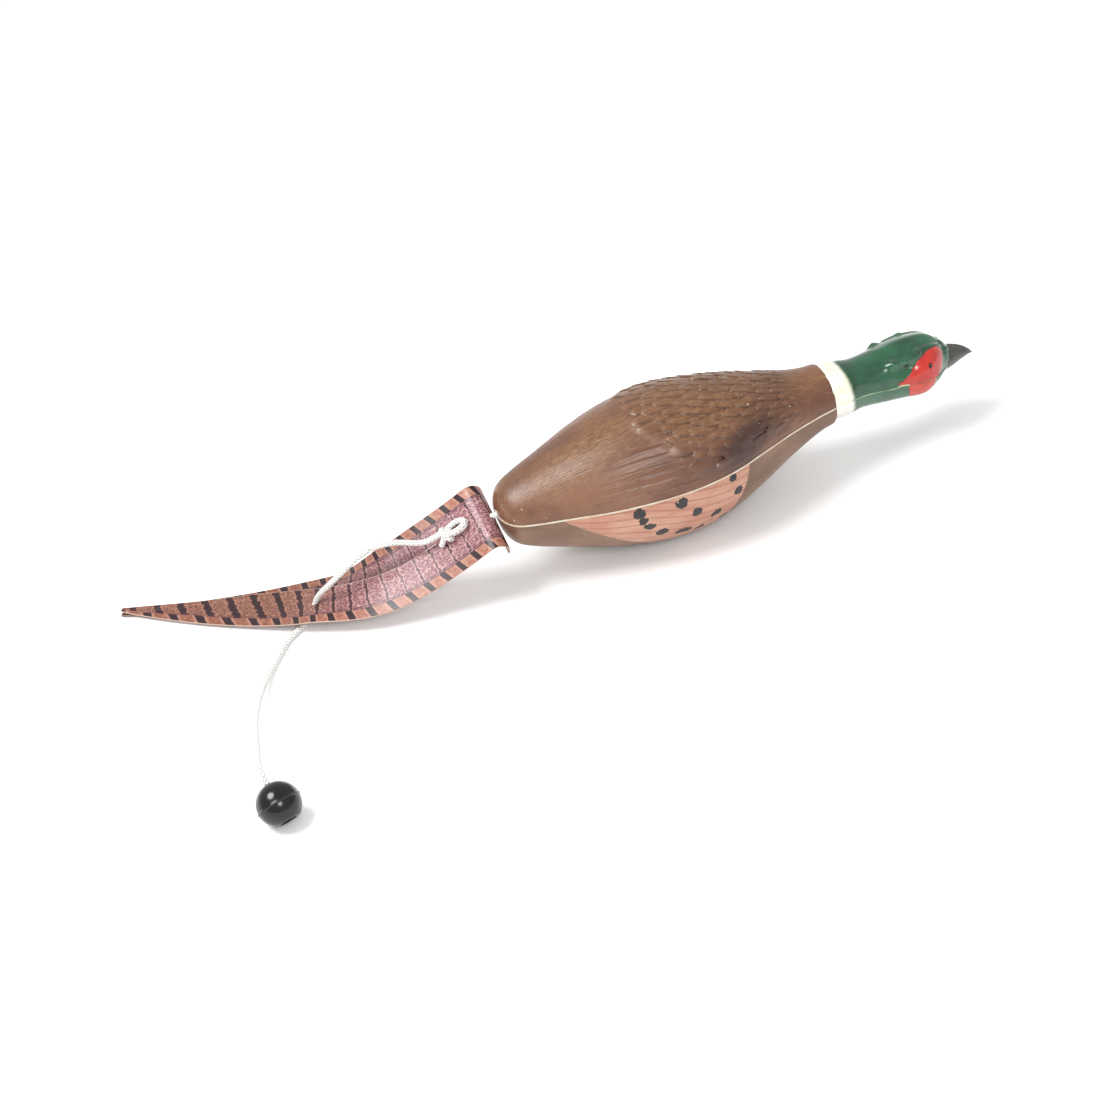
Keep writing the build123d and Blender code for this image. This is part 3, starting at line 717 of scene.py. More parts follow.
def bead(outline, section):
    """Moulded bead: a rounded ridge swept along an open outline on the parting plane."""
    tangent = np.gradient(outline, axis=0)
    tangent /= np.linalg.norm(tangent, axis=1)[:, None]
    out = np.stack([tangent[:, 1], -tangent[:, 0]], -1)
    length = np.concatenate([[0], np.cumsum(np.linalg.norm(np.diff(outline, axis=0), axis=1))])
    proud = 1 + 0.16 * ripple(length / 3.1, length / 7.0, 5.0)
    proud += 0.1 * ripple(length / 0.9, length / 2.0, 1.0)
    grid = np.zeros((len(outline), len(section), 3))
    for k, (reach, z) in enumerate(section):
        push = reach * np.where(reach > 0, proud, 1.0)
        grid[:, k, :2] = outline + out * push[:, None]
        grid[:, k, 2] = SEAM_Z + z * (1 + 0.15 * ripple(length / 4.0, length / 9.0, 8.0))
    points = grid.reshape(-1, 3)
    count = len(section)
    faces = quads(len(outline), count, closed=True).tolist()
    caps = []
    for first in (0, len(points) - count):
        middle = len(points) + len(caps)
        caps.append(points[first:first + count].mean(0))
        faces += [[first + i, first + (i + 1) % count, middle] for i in range(count)]
    return np.concatenate([points, caps]), faces


BEAD_SECTION = [          # how far each point reaches out, and its height over the seam
    (-0.5, 0.6), (0.0, 0.55), (0.42, 0.46), (0.72, 0.28), (0.85, 0.0),
    (0.72, -0.28), (0.42, -0.46), (0.0, -0.55), (-0.5, -0.6),
]


def add_bead(name, points, faces, material, body, node):
    thing = build(name, points, faces, material, sharp=60, weld=False)
    attach(thing, body, "seam_bead", node)


def body_outline():
    """Plan outline of the body from the near lip round the rear to the far lip."""
    round_s = CAP_S + (ROUND_S - CAP_S) * np.linspace(0, 1, 40)[:-1] ** 2
    s = np.concatenate([round_s, np.arange(ROUND_S, LIP_S - 1.2, 0.8), [LIP_S - 0.9]])
    width = shape_at(BODY_SHAPE, s)[:, 0]
    across = np.linspace(-width[0], width[0], 17)[1:-1]
    cap_x = REAR_X + CAP_S - CAP_BULGE + CAP_BULGE * (across / width[0]) ** 2
    near = np.stack([REAR_X + s[::-1], -width[::-1]], -1)
    far = np.stack([REAR_X + s, width], -1)
    return np.concatenate([near, np.stack([cap_x, across], -1), far])


def make_body():
    for side, name, material, slot in (
        (1, "body_upper", UPPER_FOAM, "body_foam"),
        (-1, "body_lower", LOWER_FOAM, "breast_foam"),
    ):
        piece(name + "_skin", body_half(side), material, "body", slot, name)
    add_bead("body_seam_bead", *bead(body_outline(), BEAD_SECTION), BODY_BEAD, "body", "body_seam")


# ---- head
HEAD_COLUMNS = 181
SIDE_MM = 0.384          # millimetres round the head for each degree
RED_PATCH = (            # distance from the body's rear end, degrees above the seam
    (341.0, 56.0), (347.0, 49.0), (345.5, 34.0), (343.5, 18.0), (340.5, 6.0), (335.0, -1.0), (313.0, -1.0),
    (304.5, 7.5), (309.5, 12.0), (315.5, 22.0), (321.5, 38.0), (331.0, 51.0),
)
WATTLE = (
    (335.5, -3.0), (335.5, 8.0), (333.0, 20.0), (330.0, 36.0), (325.0, 50.0), (318.0, 47.0), (314.5, 28.0),
    (313.0, 8.0), (313.0, -3.0),
)
BARE_PATCH = ((304.5, -2.0), (304.5, 3.2), (308.0, 4.8), (313.5, 3.0), (313.5, -2.0))
UPPER_BEAK = (            # distance from the body's rear end, half width, height
    (346.0, 12.0, 10.0), (352.0, 11.2, 10.2), (358.0, 9.2, 10.0), (364.0, 6.6, 8.3),
    (370.0, 4.1, 5.4), (374.5, 1.9, 2.6), (377.0, 0.4, 0.5),
)
LOWER_BEAK = (
    (346.0, 11.6, 7.4), (352.0, 10.8, 7.2), (358.0, 8.6, 5.8), (364.0, 5.8, 4.3),
    (369.0, 3.8, 2.9), (373.0, 1.8, 1.5), (375.2, 0.4, 0.4),
)
BEAK_COLUMNS = 49


def inside_distance(s, v, outline):
    """Signed distance from a closed outline, positive inside."""
    best = np.full(s.shape, 1e9)
    inside = np.zeros(s.shape, bool)
    for (s0, v0), (s1, v1) in zip(outline, outline[1:] + outline[:1]):
        ds, dv = s1 - s0, v1 - v0
        t = np.clip(((s - s0) * ds + (v - v0) * dv) / (ds * ds + dv * dv + 1e-12), 0, 1)
        best = np.minimum(best, np.hypot(s - s0 - t * ds, v - v0 - t * dv))
        crosses = (v0 > v) != (v1 > v)
        at = s0 + (v - v0) * ds / (dv if abs(dv) > 1e-9 else 1e-9)
        inside ^= crosses & (s < at)
    return np.where(inside, best, -best)


def in_millimetres(outline):
    return [(s, degrees * SIDE_MM) for s, degrees in outline]


def lump(s, v, s0, v0, radius_s, radius_v, height):
    return height * np.exp(-((s - s0) / radius_s) ** 2 - ((v - v0) / radius_v) ** 2)


def ridge(s, v, start, end, radius, height):
    """Rounded ridge along a straight line between two points."""
    ds, dv = end[0] - start[0], end[1] - start[1]
    t = np.clip(((s - start[0]) * ds + (v - start[1]) * dv) / (ds * ds + dv * dv), 0, 1)
    distance = np.hypot(s - start[0] - t * ds, v - start[1] - t * dv)
    return height * np.exp(-(distance / radius) ** 2)


def head_relief(s, v, side):
    """Moulded face: eye bump, brow, ear lobe and tuft, nostril folds and jowl."""
    if side < 0:
        jowl = lump(s, v, 324.0, 9.0, 9.0, 9.0, 1.5)
        crease = lump(s, v, 338.0, 7.0, 2.5, 8.0, -0.5)
        return jowl + crease, np.zeros_like(s)
    face = lump(s, v, 330.5, 9.8, 5.0, 4.2, 1.1)
    face += ridge(s, v, (345.0, 22.5), (323.0, 21.5), 2.2, 1.5)
    lobe = ridge(s, v, (324.0, 19.0), (312.0, 16.5), 2.4, 2.2) + lump(s, v, 303.5, 18.0, 4.6, 3.4, 3.4)
    hollow = lump(s, v, 314.5, 12.0, 5.5, 2.8, -2.2)
    neck = ridge(s, v, (301.0, 14.0), (272.0, 14.0), 5.0, 0.7)
    nostril = lump(s, v, 353.5, 22.0, 3.0, 3.2, 1.7) + lump(s, v, 349.0, 29.5, 3.6, 2.6, 1.2)
    fold = lump(s, v, 351.5, 14.0, 2.4, 9.0, 0.9) + lump(s, v, 346.8, 22.0, 1.6, 8.0, -0.7)
    crown = ridge(s, v, (342.0, 34.5), (300.0, 34.5), 4.0, 0.9)
    # mask for painted shade: the ear hollow and the fold beside the nostril
    groove = lump(s, v, 312.0, 13.6, 4.6, 1.6, 0.9) + lump(s, v, 346.8, 22.0, 1.0, 8.0, 0.6)
    return face + lobe + hollow + neck + nostril + fold + crown, np.clip(groove, 0, 1)


def drooped(points):
    """Hang the head a little about the neck pivot."""
    pivot = rear(NECK_PIVOT_S, 0, 0)
    p = points - pivot
    c, k = math.cos(HEAD_DROOP), math.sin(HEAD_DROOP)
    turned = np.stack([p[..., 0] * c + p[..., 2] * k, p[..., 1], -p[..., 0] * k + p[..., 2] * c], -1)
    return turned + pivot


def collar_radius(s):
    return np.interp(s, [LIP_S, COLLAR_S], [COLLAR_R, HEAD_SHAPE[0, 1]])


def head_stations():
    """Dome, collar, skull and nose stations with half width, top and bottom."""
    turn = np.linspace(0, math.acos(NECK_DEPTH / DOME_R), 26)
    dome_s = NECK_PIVOT_S - DOME_R * np.cos(turn)
    dome_r = DOME_R * np.sin(turn)
    collar_s = np.arange(LIP_S + 0.5, COLLAR_S - 0.2, 0.7)
    skull_s = np.arange(COLLAR_S, HEAD_SHAPE[-1, 0] + 0.01, 0.6)
    skull = shape_at(HEAD_SHAPE, skull_s)
    draw = np.linspace(1, 0, 12)[1:]
    nose_s = HEAD_SHAPE[-1, 0] + 2.2 * np.sqrt(1 - draw ** 2)
    nose = HEAD_SHAPE[-1, 1:] * draw[:, None]
    s = np.concatenate([dome_s, collar_s, skull_s, nose_s])
    round_part = np.concatenate([dome_r, collar_radius(collar_s)])
    shape = np.concatenate([np.repeat(round_part[:, None], 3, 1), skull, nose])
    return s, shape


def head_half(side):
    """Grid over one half of the head, closed by the face on the parting plane."""
    s, shape = head_stations()
    S, A, y, z, out_y, out_z = half_grid(s, shape, side, HEAD_COLUMNS)
    degrees = 90.0 - np.abs(90.0 - A)
    v = degrees * SIDE_MM
    rise, groove = head_relief(S, v, side)
    if side > 0:
        red, bare = (inside_distance(S, v, in_millimetres(p)) for p in (RED_PATCH, BARE_PATCH))
        edge = 266.0 + 0.045 * (90.0 - degrees)
        rise = rise * smooth(v, 0.3, 2.2)
    else:
        red, bare = inside_distance(S, v, in_millimetres(WATTLE)), np.full(S.shape, -5.0)
        edge = 270.0 + 0.05 * degrees
    rise = rise * band(S, 266, 274, 356.5, 359) + 0.3 * smooth(red, -0.3, 0.5)
    points = np.stack([REAR_X + S, y + out_y * rise, SEAM_Z + side * (z + out_z * rise)], -1)
    rows = len(s)
    number = np.arange(rows) * HEAD_COLUMNS
    closing = strip_quads(number, number + HEAD_COLUMNS - 1)
    faces = np.concatenate([quads(rows, HEAD_COLUMNS), closing])
    values = {"green": S - edge, "red": red, "bare": bare, "groove": groove}
    return drooped(points.reshape(-1, 3)), faces, values


def head_outline():
    """Plan outline of the head: both sides from the collar to the nose, as two runs."""
    s = np.arange(LIP_S + 3.0, 355.0, 0.7)
    width = np.where(s < COLLAR_S, collar_radius(s), shape_at(HEAD_SHAPE, np.maximum(s, COLLAR_S))[:, 0])
    near = np.stack([REAR_X + s[::-1], -width[::-1]], -1)
    far = np.stack([REAR_X + s, width], -1)
    return near, far


def beak_mesh(sections, side, hook):
    """Curved half of the beak, closed at both ends."""
    table = np.array(sections)
    start, near_tip, tip = table[[0, -2, -1], 0]
    s = np.concatenate([np.linspace(start, near_tip, 60)[:-1], np.linspace(near_tip, tip, 16)])
    kernel = np.hanning(9) / np.hanning(9).sum()
    w, h = (
        np.convolve(np.pad(np.interp(s, table[:, 0], table[:, k]), 4, "edge"), kernel, "valid")
        for k in (1, 2)
    )
    angle = np.radians(np.linspace(0, 180, BEAK_COLUMNS))
    ridge_line = 1 + 0.06 * np.exp(-((angle - math.pi / 2) / 0.25) ** 2)
    sag = -hook * smooth(s, tip - 11, tip + 3) ** 1.5
    y = w[:, None] * np.cos(angle)
    z = sag[:, None] + side * h[:, None] * (np.sin(angle) * ridge_line)
    grid = np.stack([np.repeat(REAR_X + s[:, None], BEAK_COLUMNS, 1), y, SEAM_Z + z], -1)
    number = np.arange(len(s)) * BEAK_COLUMNS
    faces = [quads(len(s), BEAK_COLUMNS), strip_quads(number, number + BEAK_COLUMNS - 1)]
    middle = BEAK_COLUMNS // 2 + 1
    for row in (np.arange(BEAK_COLUMNS), np.arange(BEAK_COLUMNS) + number[-1]):
        faces.append(strip_quads(row[:middle], row[::-1][:middle]))
    edge = np.repeat((1 - np.sin(angle))[None, :] ** 6, len(s), 0)
    return drooped(grid.reshape(-1, 3)), np.concatenate(faces), {"edge": edge}


def eye_mesh(side):
    """Slightly domed oval of black paint on the eye bump."""
    rings, columns = 9, 40
    radius = np.linspace(0, 1, rings)
    turn = np.linspace(0, 2 * math.pi, columns, endpoint=False)
    R, T = np.meshgrid(radius, turn, indexing="ij")
    s = 330.4 + 1.25 * R * np.cos(T)
    v = 9.9 + 1.75 * R * np.sin(T)
    layers = []
    for lift in (0.55, -0.6):
        out = 1.1 + lift + (0.45 * (1 - R ** 2) if lift > 0 else 0)
        degrees = np.radians(v / SIDE_MM)
        shape = shape_at(HEAD_SHAPE, s.ravel()).reshape(*s.shape, 3)
        ny, nz = np.cos(degrees) * shape[..., 1], np.sin(degrees) * shape[..., 0]
        length = np.hypot(ny, nz)
        y = shape[..., 0] * np.cos(degrees) + ny / length * out
        z = shape[..., 1] * np.sin(degrees) + nz / length * out
        layers.append(np.stack([REAR_X + s, side * y, SEAM_Z + z], -1))
    top, bottom = layers
    points = np.concatenate([top.reshape(-1, 3), bottom.reshape(-1, 3)])
    count = rings * columns
    outer = np.arange(columns) + (rings - 1) * columns
    closed = np.append(outer, outer[0])
    faces = [quads(rings, columns, closed=True, first=first) for first in (0, count)]
    faces.append(strip_quads(closed, closed + count))
    return drooped(points), np.concatenate(faces)


def make_head():
    for side, name, material, slot in (
        (1, "head_upper", HEAD_TOP, "head_green"),
        (-1, "head_lower", HEAD_LOW, "head_green_lower"),
    ):
        piece(name + "_skin", head_half(side), material, "head", slot, name)
    section = [(reach * 0.62, z * 0.7) for reach, z in BEAD_SECTION]
    (near, near_faces), (far, far_faces) = (bead(run, section) for run in head_outline())
    faces = near_faces + [[i + len(near) for i in face] for face in far_faces]
    points = drooped(np.concatenate([near, far]))
    add_bead("head_seam_bead", points, faces, HEAD_BEAD, "head", "head_seam")
    for name, sections, side, hook, material in (
        ("beak_upper", UPPER_BEAK, 1, 1.6, BEAK_TOP),
        ("beak_lower", LOWER_BEAK, -1, 0.9, BEAK_LOW),
    ):
        horn = beak_mesh(sections, side, hook)
        piece(name + "_horn", horn, material, "head", "beak_grey", name)
    piece("eye_dots", joined([eye_mesh(1), eye_mesh(-1)]), EYE_BLACK, "head", "eye_black", "eyes")


# ---- splines
def spline(points, start=None, end=None):
    """Smooth curve through the points, with chord-length steps: (parameters, slopes, points)."""
    p = np.array(points, float)
    t = np.concatenate([[0], np.cumsum(np.linalg.norm(np.diff(p, axis=0), axis=1))])

    n = len(p)

    def end_slope(order):
        """Slope at the first of a few points, from the curve through all of them."""
        return np.polynomial.polynomial.polyfit(t[order] - t[order[0]], p[order], len(order) - 1)[1]

    order = np.arange(min(4, n))
    first = end_slope(order) if start is None else start
    last = end_slope(n - 1 - order) if end is None else end
    matrix = np.zeros((n, n))
    right = np.zeros((n, 3))
    matrix[0, 0] = matrix[-1, -1] = 1.0
    right[0], right[-1] = first, last
    for i in range(1, n - 1):
        a, b = t[i] - t[i - 1], t[i + 1] - t[i]
        matrix[i, i - 1], matrix[i, i], matrix[i, i + 1] = b, 2 * (a + b), a
        right[i] = 3 * (b * (p[i] - p[i - 1]) / a + a * (p[i + 1] - p[i]) / b)
    return t, np.linalg.solve(matrix, right), p


def sample(curve, step):
    """Points every step millimetres along a curve, its unit tangents and lengths."""
    t, slopes, p = curve
    u = np.linspace(0, t[-1], 4000)
    i = np.clip(np.searchsorted(t, u, "right") - 1, 0, len(t) - 2)
    span = (t[i + 1] - t[i])[:, None]
    share = (u - t[i])[:, None] / span
    dense = hermite(share, span, p[i], p[i + 1], slopes[i], slopes[i + 1])
    length = np.concatenate([[0], np.cumsum(np.linalg.norm(np.diff(dense, axis=0), axis=1))])
    at = np.linspace(0, length[-1], max(3, int(length[-1] / step) + 1))
    points = np.stack([np.interp(at, length, dense[:, k]) for k in range(3)], -1)
    tangent = np.gradient(points, axis=0)
    tangent /= np.linalg.norm(tangent, axis=1)[:, None]
    return points, tangent, at


# ---- tail strip
SHEET_T = 1.0
FAR_DROP = 1.7           # how far the far feather is tucked under the near one
STRIP_W = 53.0
TIP_W = 4.0
ROOT_BANK = math.radians(27.0)       # roll of the strip at its root
TAIL_YAW = math.radians(30.0)        # turn of its width towards the tips
TAPER_S = 165.0          # the strip narrows from here to its tip
TAPER_POWER = 1.3
SLIT_S = 60.0            # the slit between the two feathers starts here
BORDER_W = 8.2           # printed border along each outer edge
HOLE_REAR = (44.0, 2.5)  # cord holes, along and across the strip
HOLE_NEAR = (163.0, -5.0)


def root_point(s, rise):
    return rear(s, -rise * math.sin(ROOT_BANK), rise * math.cos(ROOT_BANK))


TAIL_PATH = [
    root_point(-2.8, -11.0), root_point(-5.0, 0.0), root_point(-11.0, 4.0), root_point(-21.0, -1.0),
    root_point(-36.0, -11.5), root_point(-52.0, -21.0), rear(-90.0, 21.5, -34.5), rear(-140.0, 53.0, -51.5),
    rear(-195.0, 86.0, -57.0), rear(-262.6, 129.4, -57.0),
]
TAIL_CENTRE, TAIL_FORWARD, TAIL_S = sample(spline(TAIL_PATH), 0.25)
STRIP_LENGTH = TAIL_S[-1]
TAIL_PIVOT = TAIL_PATH[1]


def strip_width(s):
    t = np.clip((s - TAPER_S) / (STRIP_LENGTH - TAPER_S), 0.0, 1.0)
    return TIP_W + (STRIP_W - TIP_W) * (1 - t ** TAPER_POWER)


def strip_axes(s):
    s = np.atleast_1d(np.asarray(s, float))
    centre = np.stack([np.interp(s, TAIL_S, TAIL_CENTRE[:, k]) for k in range(3)], -1)
    forward = np.stack([np.interp(s, TAIL_S, TAIL_FORWARD[:, k]) for k in range(3)], -1)
    forward /= np.linalg.norm(forward, axis=1)[:, None]
    bank = ROOT_BANK * (1 - smooth(s, 95, 165))
    yaw = TAIL_YAW * smooth(s, 70, 165)
    side = np.stack([np.sin(yaw) * np.cos(bank), np.cos(yaw) * np.cos(bank), np.sin(bank)], -1)
    side = side - forward * (side * forward).sum(1)[:, None]
    side /= np.linalg.norm(side, axis=1)[:, None]
    return centre, side, forward, np.cross(side, forward)


def strip_point(s, v, lift):
    centre, side, _, normal = strip_axes(s)
    return (centre + side * v + normal * lift)[0]


def half_strip(s):
    return strip_width(s) / 2


def slit_edge(s):
    return np.minimum(3.5 + 10.5 * smooth(s, 90, 215), 0.34 * strip_width(s))


def near_edges(s):
    return -half_strip(s), slit_edge(s)


def far_edges(s):
    half = half_strip(s)
    width = 22.5 * (1 - smooth(s, 190, STRIP_LENGTH + 60) * 0.95)
    inner = np.maximum(half - width, 4.0 - 8 * smooth(s, 110, 230))
    return np.minimum(inner, half - 3.0), half


BAR_PITCH = 13.6         # spacing of the printed feather bars at the root
BAR_STRETCH = 6.0        # how much wider the spacing is at the tips


def bar_phase(s):
    """How many bars there are up to s, with wider spacing towards the tips."""
    grid = np.arange(0.0, STRIP_LENGTH + 2.0)
    pitch = BAR_PITCH + BAR_STRETCH * smooth(grid, 150, 235)
    return np.interp(s, grid, np.cumsum(1.0 / pitch))


def sheet_mesh(s, low, high, lift, borders):
    """Thin sheet between two edges, with its print coordinates. borders: edges that carry one."""
    columns = 61
    even = np.linspace(0, 1, columns)
    share = (1 - np.cos(even * math.pi)) / 2 * 0.5 + even * 0.5
    V = low[:, None] + (high - low)[:, None] * share[None, :]
    S = np.repeat(s[:, None], columns, 1)
    half = half_strip(S)
    centre, side, _, normal = strip_axes(s)
    edge = np.minimum(V - low[:, None], high[:, None] - V)
    past_slit = smooth(S, SLIT_S + 6, SLIT_S + 40)
    curl = 0.5 * fade(edge, 0, 9) * ripple(S / 23.0, V / 30.0, 2.0) * past_slit
    rim = edge
    shadow = np.zeros_like(S)
    if len(borders) == 1:
        split = smooth(S, SLIT_S + 6, SLIT_S + 45)
        slit = high[:, None] - V if borders == ("near",) else V - low[:, None]
        rim = np.minimum(edge, np.where(split > 0, slit * (1 - 0.55 * split), edge))
        if borders == ("near",):
            curl = curl + 1.5 * split * fade(slit, 0, 8)
        else:
            under_near = half - slit_edge(S)
            shadow = split * smooth(half - V, 0.45 * under_near, under_near)
    layers = []
    for sign in (1, -1):
        up = lift[:, None] + curl + sign * SHEET_T / 2 * smooth(edge + 0.35, 0, 0.7)
        across = side[:, None] * V[..., None] + normal[:, None] * up[..., None]
        layers.append((centre[:, None] + across).reshape(-1, 3))
    rows = len(s)
    count = rows * columns
    faces = [quads(rows, columns), quads(rows, columns, first=count)]
    number = np.arange(rows) * columns
    for line in (number, number + columns - 1, np.arange(columns), np.arange(columns) + number[-1]):
        faces.append(strip_quads(line, line + count))
    width = np.minimum(BORDER_W, 0.3 * strip_width(S))
    border = np.full(S.shape, -50.0)
    if "near" in borders:
        border = np.maximum(border, width - (V + half))
    if "far" in borders:
        border = np.maximum(border, width - (half - V))
    values = {"along": S, "across": V, "border": border, "rim": rim, "bars": bar_phase(S)}
    values["shadow"] = shadow
    values = {key: np.tile(value.ravel(), 2) for key, value in values.items()}
    values["under"] = np.repeat([0.0, 1.0], count)
    return np.concatenate(layers), np.concatenate(faces), values


def make_tail():
    root_s = np.arange(0, SLIT_S + 0.01, 0.75)
    root_s[-1] = SLIT_S
    half = half_strip(root_s)
    sheet = sheet_mesh(root_s, -half, half, np.zeros_like(root_s), ("near", "far"))
    piece("tail_strip_root", sheet, SHEET_NEAR, "tail", "tail_vinyl", "tail_root")
    s = np.linspace(SLIT_S, STRIP_LENGTH, 345)
    level = np.zeros_like(s)
    hinge, after = strip_point(SLIT_S, 0, 0), strip_point(SLIT_S + 16, 0, 0)
    points, faces, values = sheet_mesh(s, *near_edges(s), level, ("near",))
    near = build("tail_strip_near", points, faces, SHEET_NEAR, values)
    bend(near, ("tail", "near_feather"), hinge, after, "tail_vinyl", "tail_feather_near")
    tucked = FAR_DROP * smooth(s, SLIT_S + 5, SLIT_S + 35)
    points, faces, values = sheet_mesh(s, *far_edges(s), -tucked, ("far",))
    far = build("tail_strip_far", points, faces, SHEET_FAR_SHADED, values)
    bend(far, ("tail", "far_feather"), hinge, after, "tail_vinyl_under", "tail_feather_far")


# ---- cord and ball
CORD_R = 2.1
CORD_COLUMNS = 28
BRAID_TURN = 12.0        # length in which a strand goes once round the cord
STRANDS = 4
SWING_POINT = rear(-156.0, 30.5, -57.7)      # pivots of the free cord
LIFT_POINT = rear(-198.8, -32.1, -52.0)
FREE_START = rear(-169.7, 16.8, -57.8)
BALL_CENTRE = rear(-218.1, -152.3, -44.9)
BALL_AXIS = np.array([-0.158, 0.744, 0.650])
BALL_AXIS /= np.linalg.norm(BALL_AXIS)


def tube(points, tangent, length, radius=CORD_R, phase=0.0):
    """Braided tube with rounded ends: points, faces and how deep each point lies in the braid."""
    start = np.array([0.0, 0.0, 1.0]) if abs(tangent[0, 2]) < 0.9 else np.array([0.0, 1.0, 0.0])
    side = np.cross(tangent[0], start)
    side /= np.linalg.norm(side)
    sides = []
    for k in range(len(points)):
        side = side - tangent[k] * side.dot(tangent[k])
        side /= np.linalg.norm(side)
        sides.append(side)
    side = np.array(sides)
    other = np.cross(tangent, side)
    turn = np.linspace(0, 2 * math.pi, CORD_COLUMNS, endpoint=False)
    wind = 2 * math.pi * length / BRAID_TURN + phase
    left = np.cos(STRANDS * (turn[None, :] + wind[:, None]))
    right = np.cos(STRANDS * (turn[None, :] - wind[:, None]) + 0.8)
    braid = np.maximum(left, right)
    from_end = np.clip(np.minimum(length, length[-1] - length) / 1.4, 0, 1)
    close = np.sqrt(np.clip(1 - (1 - from_end) ** 2, 0.0, 1))
    r = (radius - 0.2 + 0.2 * braid) * close[:, None]
    ring = side[:, None] * np.cos(turn)[None, :, None] + other[:, None] * np.sin(turn)[None, :, None]
    grid = points[:, None] + ring * r[..., None]
    depth = np.clip(0.55 - braid, 0, 1)
    return grid.reshape(-1, 3), quads(len(points), CORD_COLUMNS, closed=True), depth.ravel()


def cord_piece(name, runs, radius=CORD_R):
    """One object from several runs of braided cord."""
    parts, depths = [], []
    for k, curve in enumerate(runs):
        points, faces, depth = tube(*sample(curve, 0.36), radius, 0.7 * k)
        parts.append((points, faces))
        depths.append(depth)
    points, faces = joined(parts)
    return build(name, points, faces, CORD_WHITE, {"groove": np.concatenate(depths)}, sharp=80)


def knot_frame():
    """Where a point of the tail knot lies: along the strip, across it and above it."""
    centre, side, forward, normal = (a[0] for a in strip_axes(HOLE_REAR[0]))
    base = centre + side * HOLE_REAR[1] + normal * SHEET_T / 2
    return lambda a, b, up: base + forward * a + side * b + normal * up


def ellipse_run(at, centre, axis_a, axis_b, turns, rise, start=0.0):
    """Coil of cord: an ellipse drawn turns times round while it rises."""
    out = []
    for k in np.linspace(0, turns, int(14 * turns) + 1):
        angle = 2 * math.pi * (k + start)
        spot = np.array(centre) + np.array(axis_a) * math.cos(angle) + np.array(axis_b) * math.sin(angle)
        out.append(at(spot[0], spot[1], spot[2] + rise * k / turns))
    return out


def make_cord():
    at = knot_frame()
    through_strip = [strip_point(*HOLE_REAR, lift) for lift in (-7.0, -2.45, 1.35, 3.5)]
    rear_run = [rear(3, 0, 0), rear(-2, 0, 0), TAIL_PIVOT, rear(-13, 0.5, -5.5), rear(-20, 1.5, -13)]
    thing = cord_piece("cord_rear", [spline(rear_run + through_strip)])
    bend(thing, ("body", "tail"), rear(-1.0, 0, 0), rear(-9.0, 0, 0), "braided_cord", "rear_cord")

    loop = ellipse_run(at, (-4.0, 1.0, 2.3), (7.9, 0.6, 0.0), (-0.3, 3.3, 0.0), 1.55, 3.0, 0.42)
    wrap = ellipse_run(at, (4.6, 0.4, 3.6), (1.2, 4.5, 0.0), (0.6, 0.0, 4.0), 1.15, 0.0, 0.1)
    stub = [at(3.0, 1.5, 4.0), at(6.5, -1.0, 4.6), at(10.0, -3.0, 3.4), at(13.0, -4.2, 2.3)]
    neck = [at(0.0, 0.0, -1.0), at(1.0, 0.6, 2.0), at(3.5, 1.2, 4.4)]
    thing = cord_piece("cord_tail_knot", [spline(run) for run in (loop, wrap, stub, neck)])
    attach(thing, "tail", "braided_cord", "tail_knot")

    over = [
        at(2.5, 1.0, 5.4), at(8.5, 2.6, 6.0), rear(-51.5, 10.5, -8.4), rear(-68.0, 17.0, -6.5),
        rear(-90.0, 24.5, -8.0), rear(-111.0, 30.0, -21.0), rear(-126.0, 37.5, -35.5),
        rear(-133.0, 42.6, -44.8), strip_point(*HOLE_NEAR, 0),
    ]
    under = [rear(-141.0, 42.0, -56.4), rear(-148.0, 36.0, -57.6), SWING_POINT, FREE_START]
    t, slopes, p = spline(over + under)
    cut = 4                          # the cord over the tail is parted at this point
    thing = cord_piece("cord_over_tail", [(t[:cut + 1], slopes[:cut + 1], p[:cut + 1])])
    bend(thing, ("tail", "near_feather"), p[1], p[3], "braided_cord")
    thing = cord_piece("cord_through_tail", [(t[cut:] - t[cut], slopes[cut:], p[cut:])])
    start, end = rear(-150.0, 36.0, -57.7), rear(-164.0, 22.0, -57.7)
    bend(thing, ("near_feather", "cord_middle"), start, end, "braided_cord", "cord_arc")

    free = [
        FREE_START, rear(-182.9, -0.6, -57.2), LIFT_POINT, rear(-205.8, -53.8, -46),
        rear(-212.3, -81.6, -38), rear(-218, -112.3, -31.0),
    ]
    free += [BALL_CENTRE + BALL_AXIS * reach for reach in (21.0, 8.0, -7.0)]
    thing = cord_piece("cord_to_ball", [spline(free, None, -BALL_AXIS)])
    start, end = rear(-194.0, -22.0, -54.0), rear(-203.5, -44.0, -49.0)
    bend(thing, ("cord_middle", "cord_tip"), start, end, "braided_cord", "cord_drop", "cord_end")


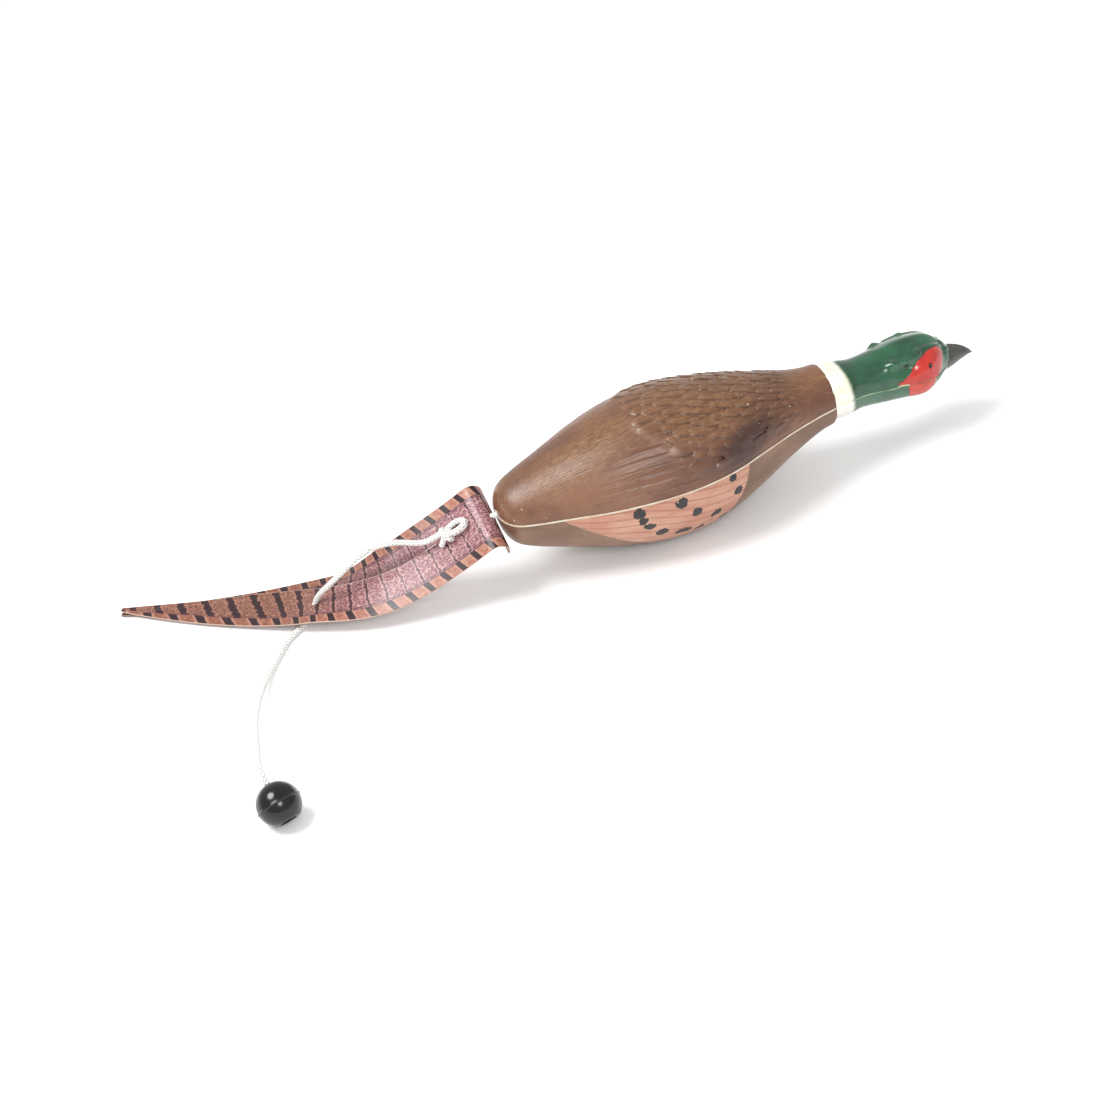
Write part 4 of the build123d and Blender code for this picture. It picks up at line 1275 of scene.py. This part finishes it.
def make_ball():
    """Turned ball with flash ring, flat face, recess and bore, and the cord's stop knot."""
    radius, flat, bore, recess, depth = 15.0, 12.5, 2.9, 5.8, 6.0
    top = math.acos(bore / radius)
    shoulder = radius * math.sin(top)
    profile = [(bore, shoulder - 1.2), (bore + 0.25, shoulder - 0.35)]
    flat_angle = -math.asin(flat / radius)
    for angle in np.linspace(top - 0.03, flat_angle + 0.03, 96):
        at = angle * radius
        flash = 0.65 * math.exp(-(at / 0.55) ** 2) + 0.12 * math.exp(-(at / 1.6) ** 2)
        profile.append(((radius + flash) * math.cos(angle), (radius + flash * 0.2) * math.sin(angle)))
    edge = radius * math.cos(flat_angle)
    profile += [
        (edge - 0.35, 0.04 - flat), (edge - 1.0, -flat), (recess + 1.0, -flat), (recess + 0.3, 0.1 - flat),
        (recess, 0.5 - flat), (recess - 0.1, depth - 0.5 - flat), (recess - 0.5, depth - flat),
        (bore, depth - flat),
    ]
    profile = np.array(profile)
    columns = 96
    turn = np.linspace(0, 2 * math.pi, columns, endpoint=False)
    side = np.cross(BALL_AXIS, [0, 0, 1])
    side /= np.linalg.norm(side)
    other = np.cross(BALL_AXIS, side)
    ring = side * np.cos(turn)[:, None] + other * np.sin(turn)[:, None]
    wobble = 1 + 0.007 * ripple(3 * turn, 5 * turn, 2.0)
    reach = profile[:, 0][:, None] * wobble
    grid = BALL_CENTRE + BALL_AXIS * profile[:, 1][:, None, None] + ring[None] * reach[..., None]
    rows = len(profile)
    first = np.append(np.arange(columns), 0)
    closing = strip_quads(first + (rows - 1) * columns, first)
    faces = np.concatenate([quads(rows, columns, closed=True), closing])
    ball = build("throw_ball_shell", grid.reshape(-1, 3), faces, BALL_BLACK, sharp=40)
    attach(ball, "ball", "ball_black", "throw_ball")
    coil = ellipse_run(
        lambda a, b, up: BALL_CENTRE + side * a + other * b - BALL_AXIS * up,
        (0, 0, 7.6), (2.7, 0, 0), (0, 2.7, 0), 1.8, 1.6,
    )
    knot = cord_piece("cord_ball_knot", [spline(coil)], 1.9)
    attach(knot, "cord_tip", "braided_cord", "ball_knot")


# ---- carried-over CAD nodes
def dress_nodes():
    """Materials for the CAD nodes that are shown as they are."""
    looks = {
        LINER_WHITE: ("cord_liner", "anchor_washer"),
        CORD_WHITE: ("main_cord", "neck_cord", "head_cord", "anchor_knot"),
    }
    for material, names in looks.items():
        for name in names:
            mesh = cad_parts[name].data
            mesh.materials.clear()
            mesh.materials.append(material)


# ---- stage
def make_stage():
    """Pale floor, soft lights and the camera."""
    size = 6.0
    corners = [(-size, -size, 0), (size, -size, 0), (size, size, 0), (-size, size, 0)]
    mesh = bpy.data.meshes.new("floor")
    mesh.from_pydata(corners, [], [(0, 1, 2, 3)])
    m = Recipe("pale_floor", roughness=0.9, specular=0.1)
    mesh.materials.append(m.finish(m.mix(m.noise(900.0), (0.93, 0.93, 0.93), (0.95, 0.95, 0.95))))
    floor = bpy.data.objects.new("floor", mesh)
    floor.location.z = -0.0002
    bpy.context.scene.collection.objects.link(floor)

    world = bpy.data.worlds.new("studio")
    bpy.context.scene.world = world
    world.use_nodes = True
    sky = world.node_tree.nodes["Background"].inputs
    sky[0].default_value = (1, 1, 1, 1)
    sky[1].default_value = 0.75

    aim = Vector((0, 0, 0.04))
    for name, place, width, power in (
        ("key", (-0.95, 0.1, 1.5), 0.9, 27.0),
        ("fill", (-0.2, -1.5, 1.2), 0.7, 13.0),
    ):
        light = bpy.data.lights.new(name, "AREA")
        light.shape = "DISK"
        light.size = width
        light.energy = power
        lamp = bpy.data.objects.new(name, light)
        lamp.location = place
        lamp.rotation_euler = (aim - Vector(place)).to_track_quat("-Z", "Y").to_euler()
        bpy.context.scene.collection.objects.link(lamp)

    camera = bpy.data.objects.new("camera", bpy.data.cameras.new("camera"))
    camera.data.lens = 74.8
    camera.data.sensor_width = 36.0
    camera.data.clip_start, camera.data.clip_end = 0.01, 50.0
    right = Vector((0.91657, -0.36334, -0.16699))
    up = Vector((0.34477, 0.50650, 0.79031))
    back = Vector((-0.20257, -0.78195, 0.58951))
    turn = Matrix((right, up, back)).transposed().to_4x4()
    camera.matrix_world = Matrix.Translation((-0.4344, -1.2771, 0.9772)) @ turn
    bpy.context.scene.collection.objects.link(camera)
    bpy.context.scene.camera = camera
    bpy.context.scene.view_settings.view_transform = "Standard"


make_body()
make_head()
make_tail()
make_cord()
make_ball()
dress_nodes()
make_stage()
